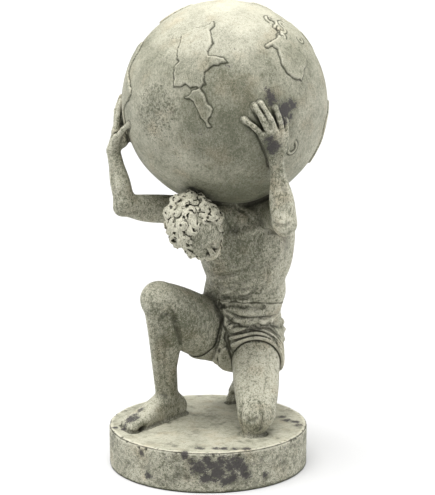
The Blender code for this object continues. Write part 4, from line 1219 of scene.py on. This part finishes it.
SENSOR = 36
FOCAL_PIXELS = 1390
EYE_PLACE = (0.0105, -1.5, 0.511)
LOOK_AT = (0, 0, 0.25)
SUN_PLACE, SUN_POWER, SUN_SPREAD = (-0.09, -0.12, 1.2), 6.8, math.radians(60)
SIDE_LIGHTS = (("left", 6, (-1.3, 0.25, 0.45)), ("right", 9, (1.3, 0.25, 0.45)))
SKY_POWER = 0.1
# The floor: half the size of its flat part, half its whole size and how high its banks rise.
FLAT, WIDE, BANK = 5.0, 40.0, 8.0


def colour_setting(name, description, screen):
    return bpy.props.FloatVectorProperty(
        name=name, description=description, subtype="COLOR", size=3, min=0, max=1, default=linear(screen))


class StatueShape(bpy.types.PropertyGroup):
    """Sizes of the carving."""

    land_height: bpy.props.FloatProperty(
        name="Land height",
        description="How far the lands stand out from the globe, in thousandths of a metre",
        default=1.7, min=0.2, max=2.1)
    body_triangles: bpy.props.IntProperty(
        name="Body triangles", description="Most triangles in the body", default=190000, min=20000)
    head_triangles: bpy.props.IntProperty(
        name="Head triangles", description="Most triangles in the head", default=150000, min=20000)


class StatueFinish(bpy.types.PropertyGroup):
    """Colours of the aged coat."""

    # The pale and shade tones are the two ends of the coat, and they also give the painted highlights and
    # painted shade.
    pale_tone: colour_setting("Pale tone", "Cream of the parts that a dry brush has touched", (196, 193, 174))
    shade_tone: colour_setting("Shade tone", "Grey green of the coat", (88, 90, 71))
    # The dark tone is both the antiquing in the hollows and the painted shade where parts meet.
    dark_tone: colour_setting("Dark tone", "Wash that lies in the hollows", (48, 47, 36))
    warm_tone: colour_setting("Warm tone", "Faint brown stain over the coat", (236, 214, 188))
    bare_tone: colour_setting("Bare tone", "Dark base where the coat is worn off", (50, 46, 48))


class StatueStage(bpy.types.PropertyGroup):
    """Camera and light."""

    floor_tone: colour_setting("Floor tone", "Colour of the floor", (190, 190, 190))
    lens: bpy.props.FloatProperty(name="Lens", description="Focal length of the camera", unit="CAMERA",
                                  default=FOCAL_PIXELS / FRAME_HEIGHT * SENSOR, min=10, max=300)
    tilt: bpy.props.FloatProperty(name="Tilt", description="How far the camera looks down", subtype="ANGLE",
                                  default=math.radians(10.15), min=0, max=1.5)


# Operators


class STATUE_OT_body(bpy.types.Operator):
    """Model the kneeling body with its arms, legs, hands and feet"""

    bl_idname = "statue.body"
    bl_label = "Body"

    def execute(self, context):
        shape = context.scene.statue_shape
        points, faces = run_out_body(BODY_CELL).surface()
        mesh = shape_mesh("body", points, faces, shape.body_triangles)
        write_marks(mesh, wash_and_shade=True)
        place(mesh, aged_stone("stone_body", context.scene.statue_finish, pale=-0.15))
        return {"FINISHED"}


class STATUE_OT_loincloth(bpy.types.Operator):
    """Model the cloth round the hips"""

    bl_idname = "statue.loincloth"
    bl_label = "Loincloth"

    def execute(self, context):
        points, faces = loincloth_clay(BODY_CELL).surface()
        mesh = shape_mesh("loincloth", points, faces)
        write_marks(mesh, wash_and_shade=True)
        place(mesh, aged_stone("stone_cloth", context.scene.statue_finish))
        return {"FINISHED"}


class STATUE_OT_head(bpy.types.Operator):
    """Model the head with its hair and beard"""

    bl_idname = "statue.head"
    bl_label = "Head"

    def execute(self, context):
        points, faces = head_clay(HEAD_CELL).surface()
        mesh = shape_mesh("head", points, faces, context.scene.statue_shape.head_triangles)
        write_marks(mesh)
        place(mesh, aged_stone("stone_hair", context.scene.statue_finish, pale=-0.05))
        return {"FINISHED"}


class STATUE_OT_globe(bpy.types.Operator):
    """Model the globe with its raised lands"""

    bl_idname = "statue.globe"
    bl_label = "Globe"

    def execute(self, context):
        mesh = globe_mesh(context.scene.statue_shape.land_height)
        ways = figure_points(mesh) - GLOBE
        write_marks(mesh, *globe_relief(ways / np.linalg.norm(ways, axis=1, keepdims=True)), calm=0.62)
        place(mesh, aged_stone("stone_globe", context.scene.statue_finish, pale=-0.35, rough=True))
        return {"FINISHED"}


class STATUE_OT_plinth(bpy.types.Operator):
    """Turn the round plinth"""

    bl_idname = "statue.plinth"
    bl_label = "Plinth"

    def execute(self, context):
        mesh = plinth_mesh()
        x, y, height = figure_points(mesh).T
        # Painted light on the plinth: cream wear with a painted highlight along the upper rim, sides painted
        # darker than the top as painted shade, and a dark line of painted shadow along the foot.
        rim = np.exp(-((height + 0.8) / 1.3) ** 2) * (np.hypot(x, y) > PLINTH_RADIUS / UNIT - 4)
        foot = np.exp(-((height * UNIT + PLINTH_HEIGHT) / PLINTH_EDGE) ** 2)
        cream_and_painted_light = 0.9 * rim - 0.2 * (height < -3) - 2.4 * foot
        write_marks(mesh, calm=np.interp(height, (-3, -1), (0.05, 0.6)), cream_and_painted_light=cream_and_painted_light)
        place(mesh, aged_stone("stone_plinth", context.scene.statue_finish, pale=0.35, brushed=(0.3, 1, 1)))
        return {"FINISHED"}


class STATUE_OT_stage(bpy.types.Operator):
    """Set the floor, the lights and the camera"""

    bl_idname = "statue.stage"
    bl_label = "Stage"

    def execute(self, context):
        scene = context.scene
        settings = scene.statue_stage
        floor = bpy.data.objects.new("floor", floor_mesh(settings.floor_tone))
        scene.collection.objects.link(floor)
        world = bpy.data.worlds.new("studio")
        world.use_nodes = True
        sky = world.node_tree.nodes["Background"].inputs
        sky["Color"].default_value, sky["Strength"].default_value = (1, 1, 1, 1), SKY_POWER
        scene.world = world
        scene.view_settings.view_transform = "Standard"
        overhead = bpy.data.lights.new("overhead", "SUN")
        overhead.energy, overhead.angle = SUN_POWER, SUN_SPREAD
        lamps = [(overhead, SUN_PLACE)] + [(side_light(name, power), at) for name, power, at in SIDE_LIGHTS]
        for light, at in lamps:
            lamp = bpy.data.objects.new(light.name, light)
            lamp.location = at
            lamp.rotation_euler = (Vector(LOOK_AT) - Vector(at)).to_track_quat("-Z", "Y").to_euler()
            scene.collection.objects.link(lamp)
        camera = bpy.data.cameras.new("camera")
        camera.lens, camera.sensor_width = settings.lens, SENSOR
        eye = bpy.data.objects.new("camera", camera)
        eye.matrix_world = (Matrix.Translation(EYE_PLACE)
                            @ Matrix.Rotation(math.pi / 2 - settings.tilt, 4, "X"))
        scene.collection.objects.link(eye)
        scene.camera = eye
        return {"FINISHED"}


class STATUE_PT_panel(bpy.types.Panel):
    """Steps of the statue, in order"""

    bl_idname = "STATUE_PT_panel"
    bl_label = "Statue"
    bl_space_type = "VIEW_3D"
    bl_region_type = "UI"
    bl_category = "Statue"

    def draw(self, context):
        for step in STEPS:
            self.layout.operator(step.bl_idname)
        for name, group in SETTINGS.items():
            box = self.layout.box()
            for setting in group.__annotations__:
                box.prop(getattr(context.scene, name), setting)


STEPS = (STATUE_OT_stage, STATUE_OT_body, STATUE_OT_loincloth, STATUE_OT_head, STATUE_OT_globe,
         STATUE_OT_plinth)
SETTINGS = {"statue_shape": StatueShape, "statue_finish": StatueFinish, "statue_stage": StatueStage}
CLASSES = (*SETTINGS.values(), *STEPS, STATUE_PT_panel)


def register():
    for made in CLASSES:
        bpy.utils.register_class(made)
    for name, group in SETTINGS.items():
        setattr(bpy.types.Scene, name, bpy.props.PointerProperty(type=group))


def unregister():
    for name in SETTINGS:
        delattr(bpy.types.Scene, name)
    for made in reversed(CLASSES):
        bpy.utils.unregister_class(made)


def main():
    register()
    for step in STEPS:
        group, name = step.bl_idname.split(".")
        getattr(getattr(bpy.ops, group), name)()


if __name__ == "__main__":
    main()
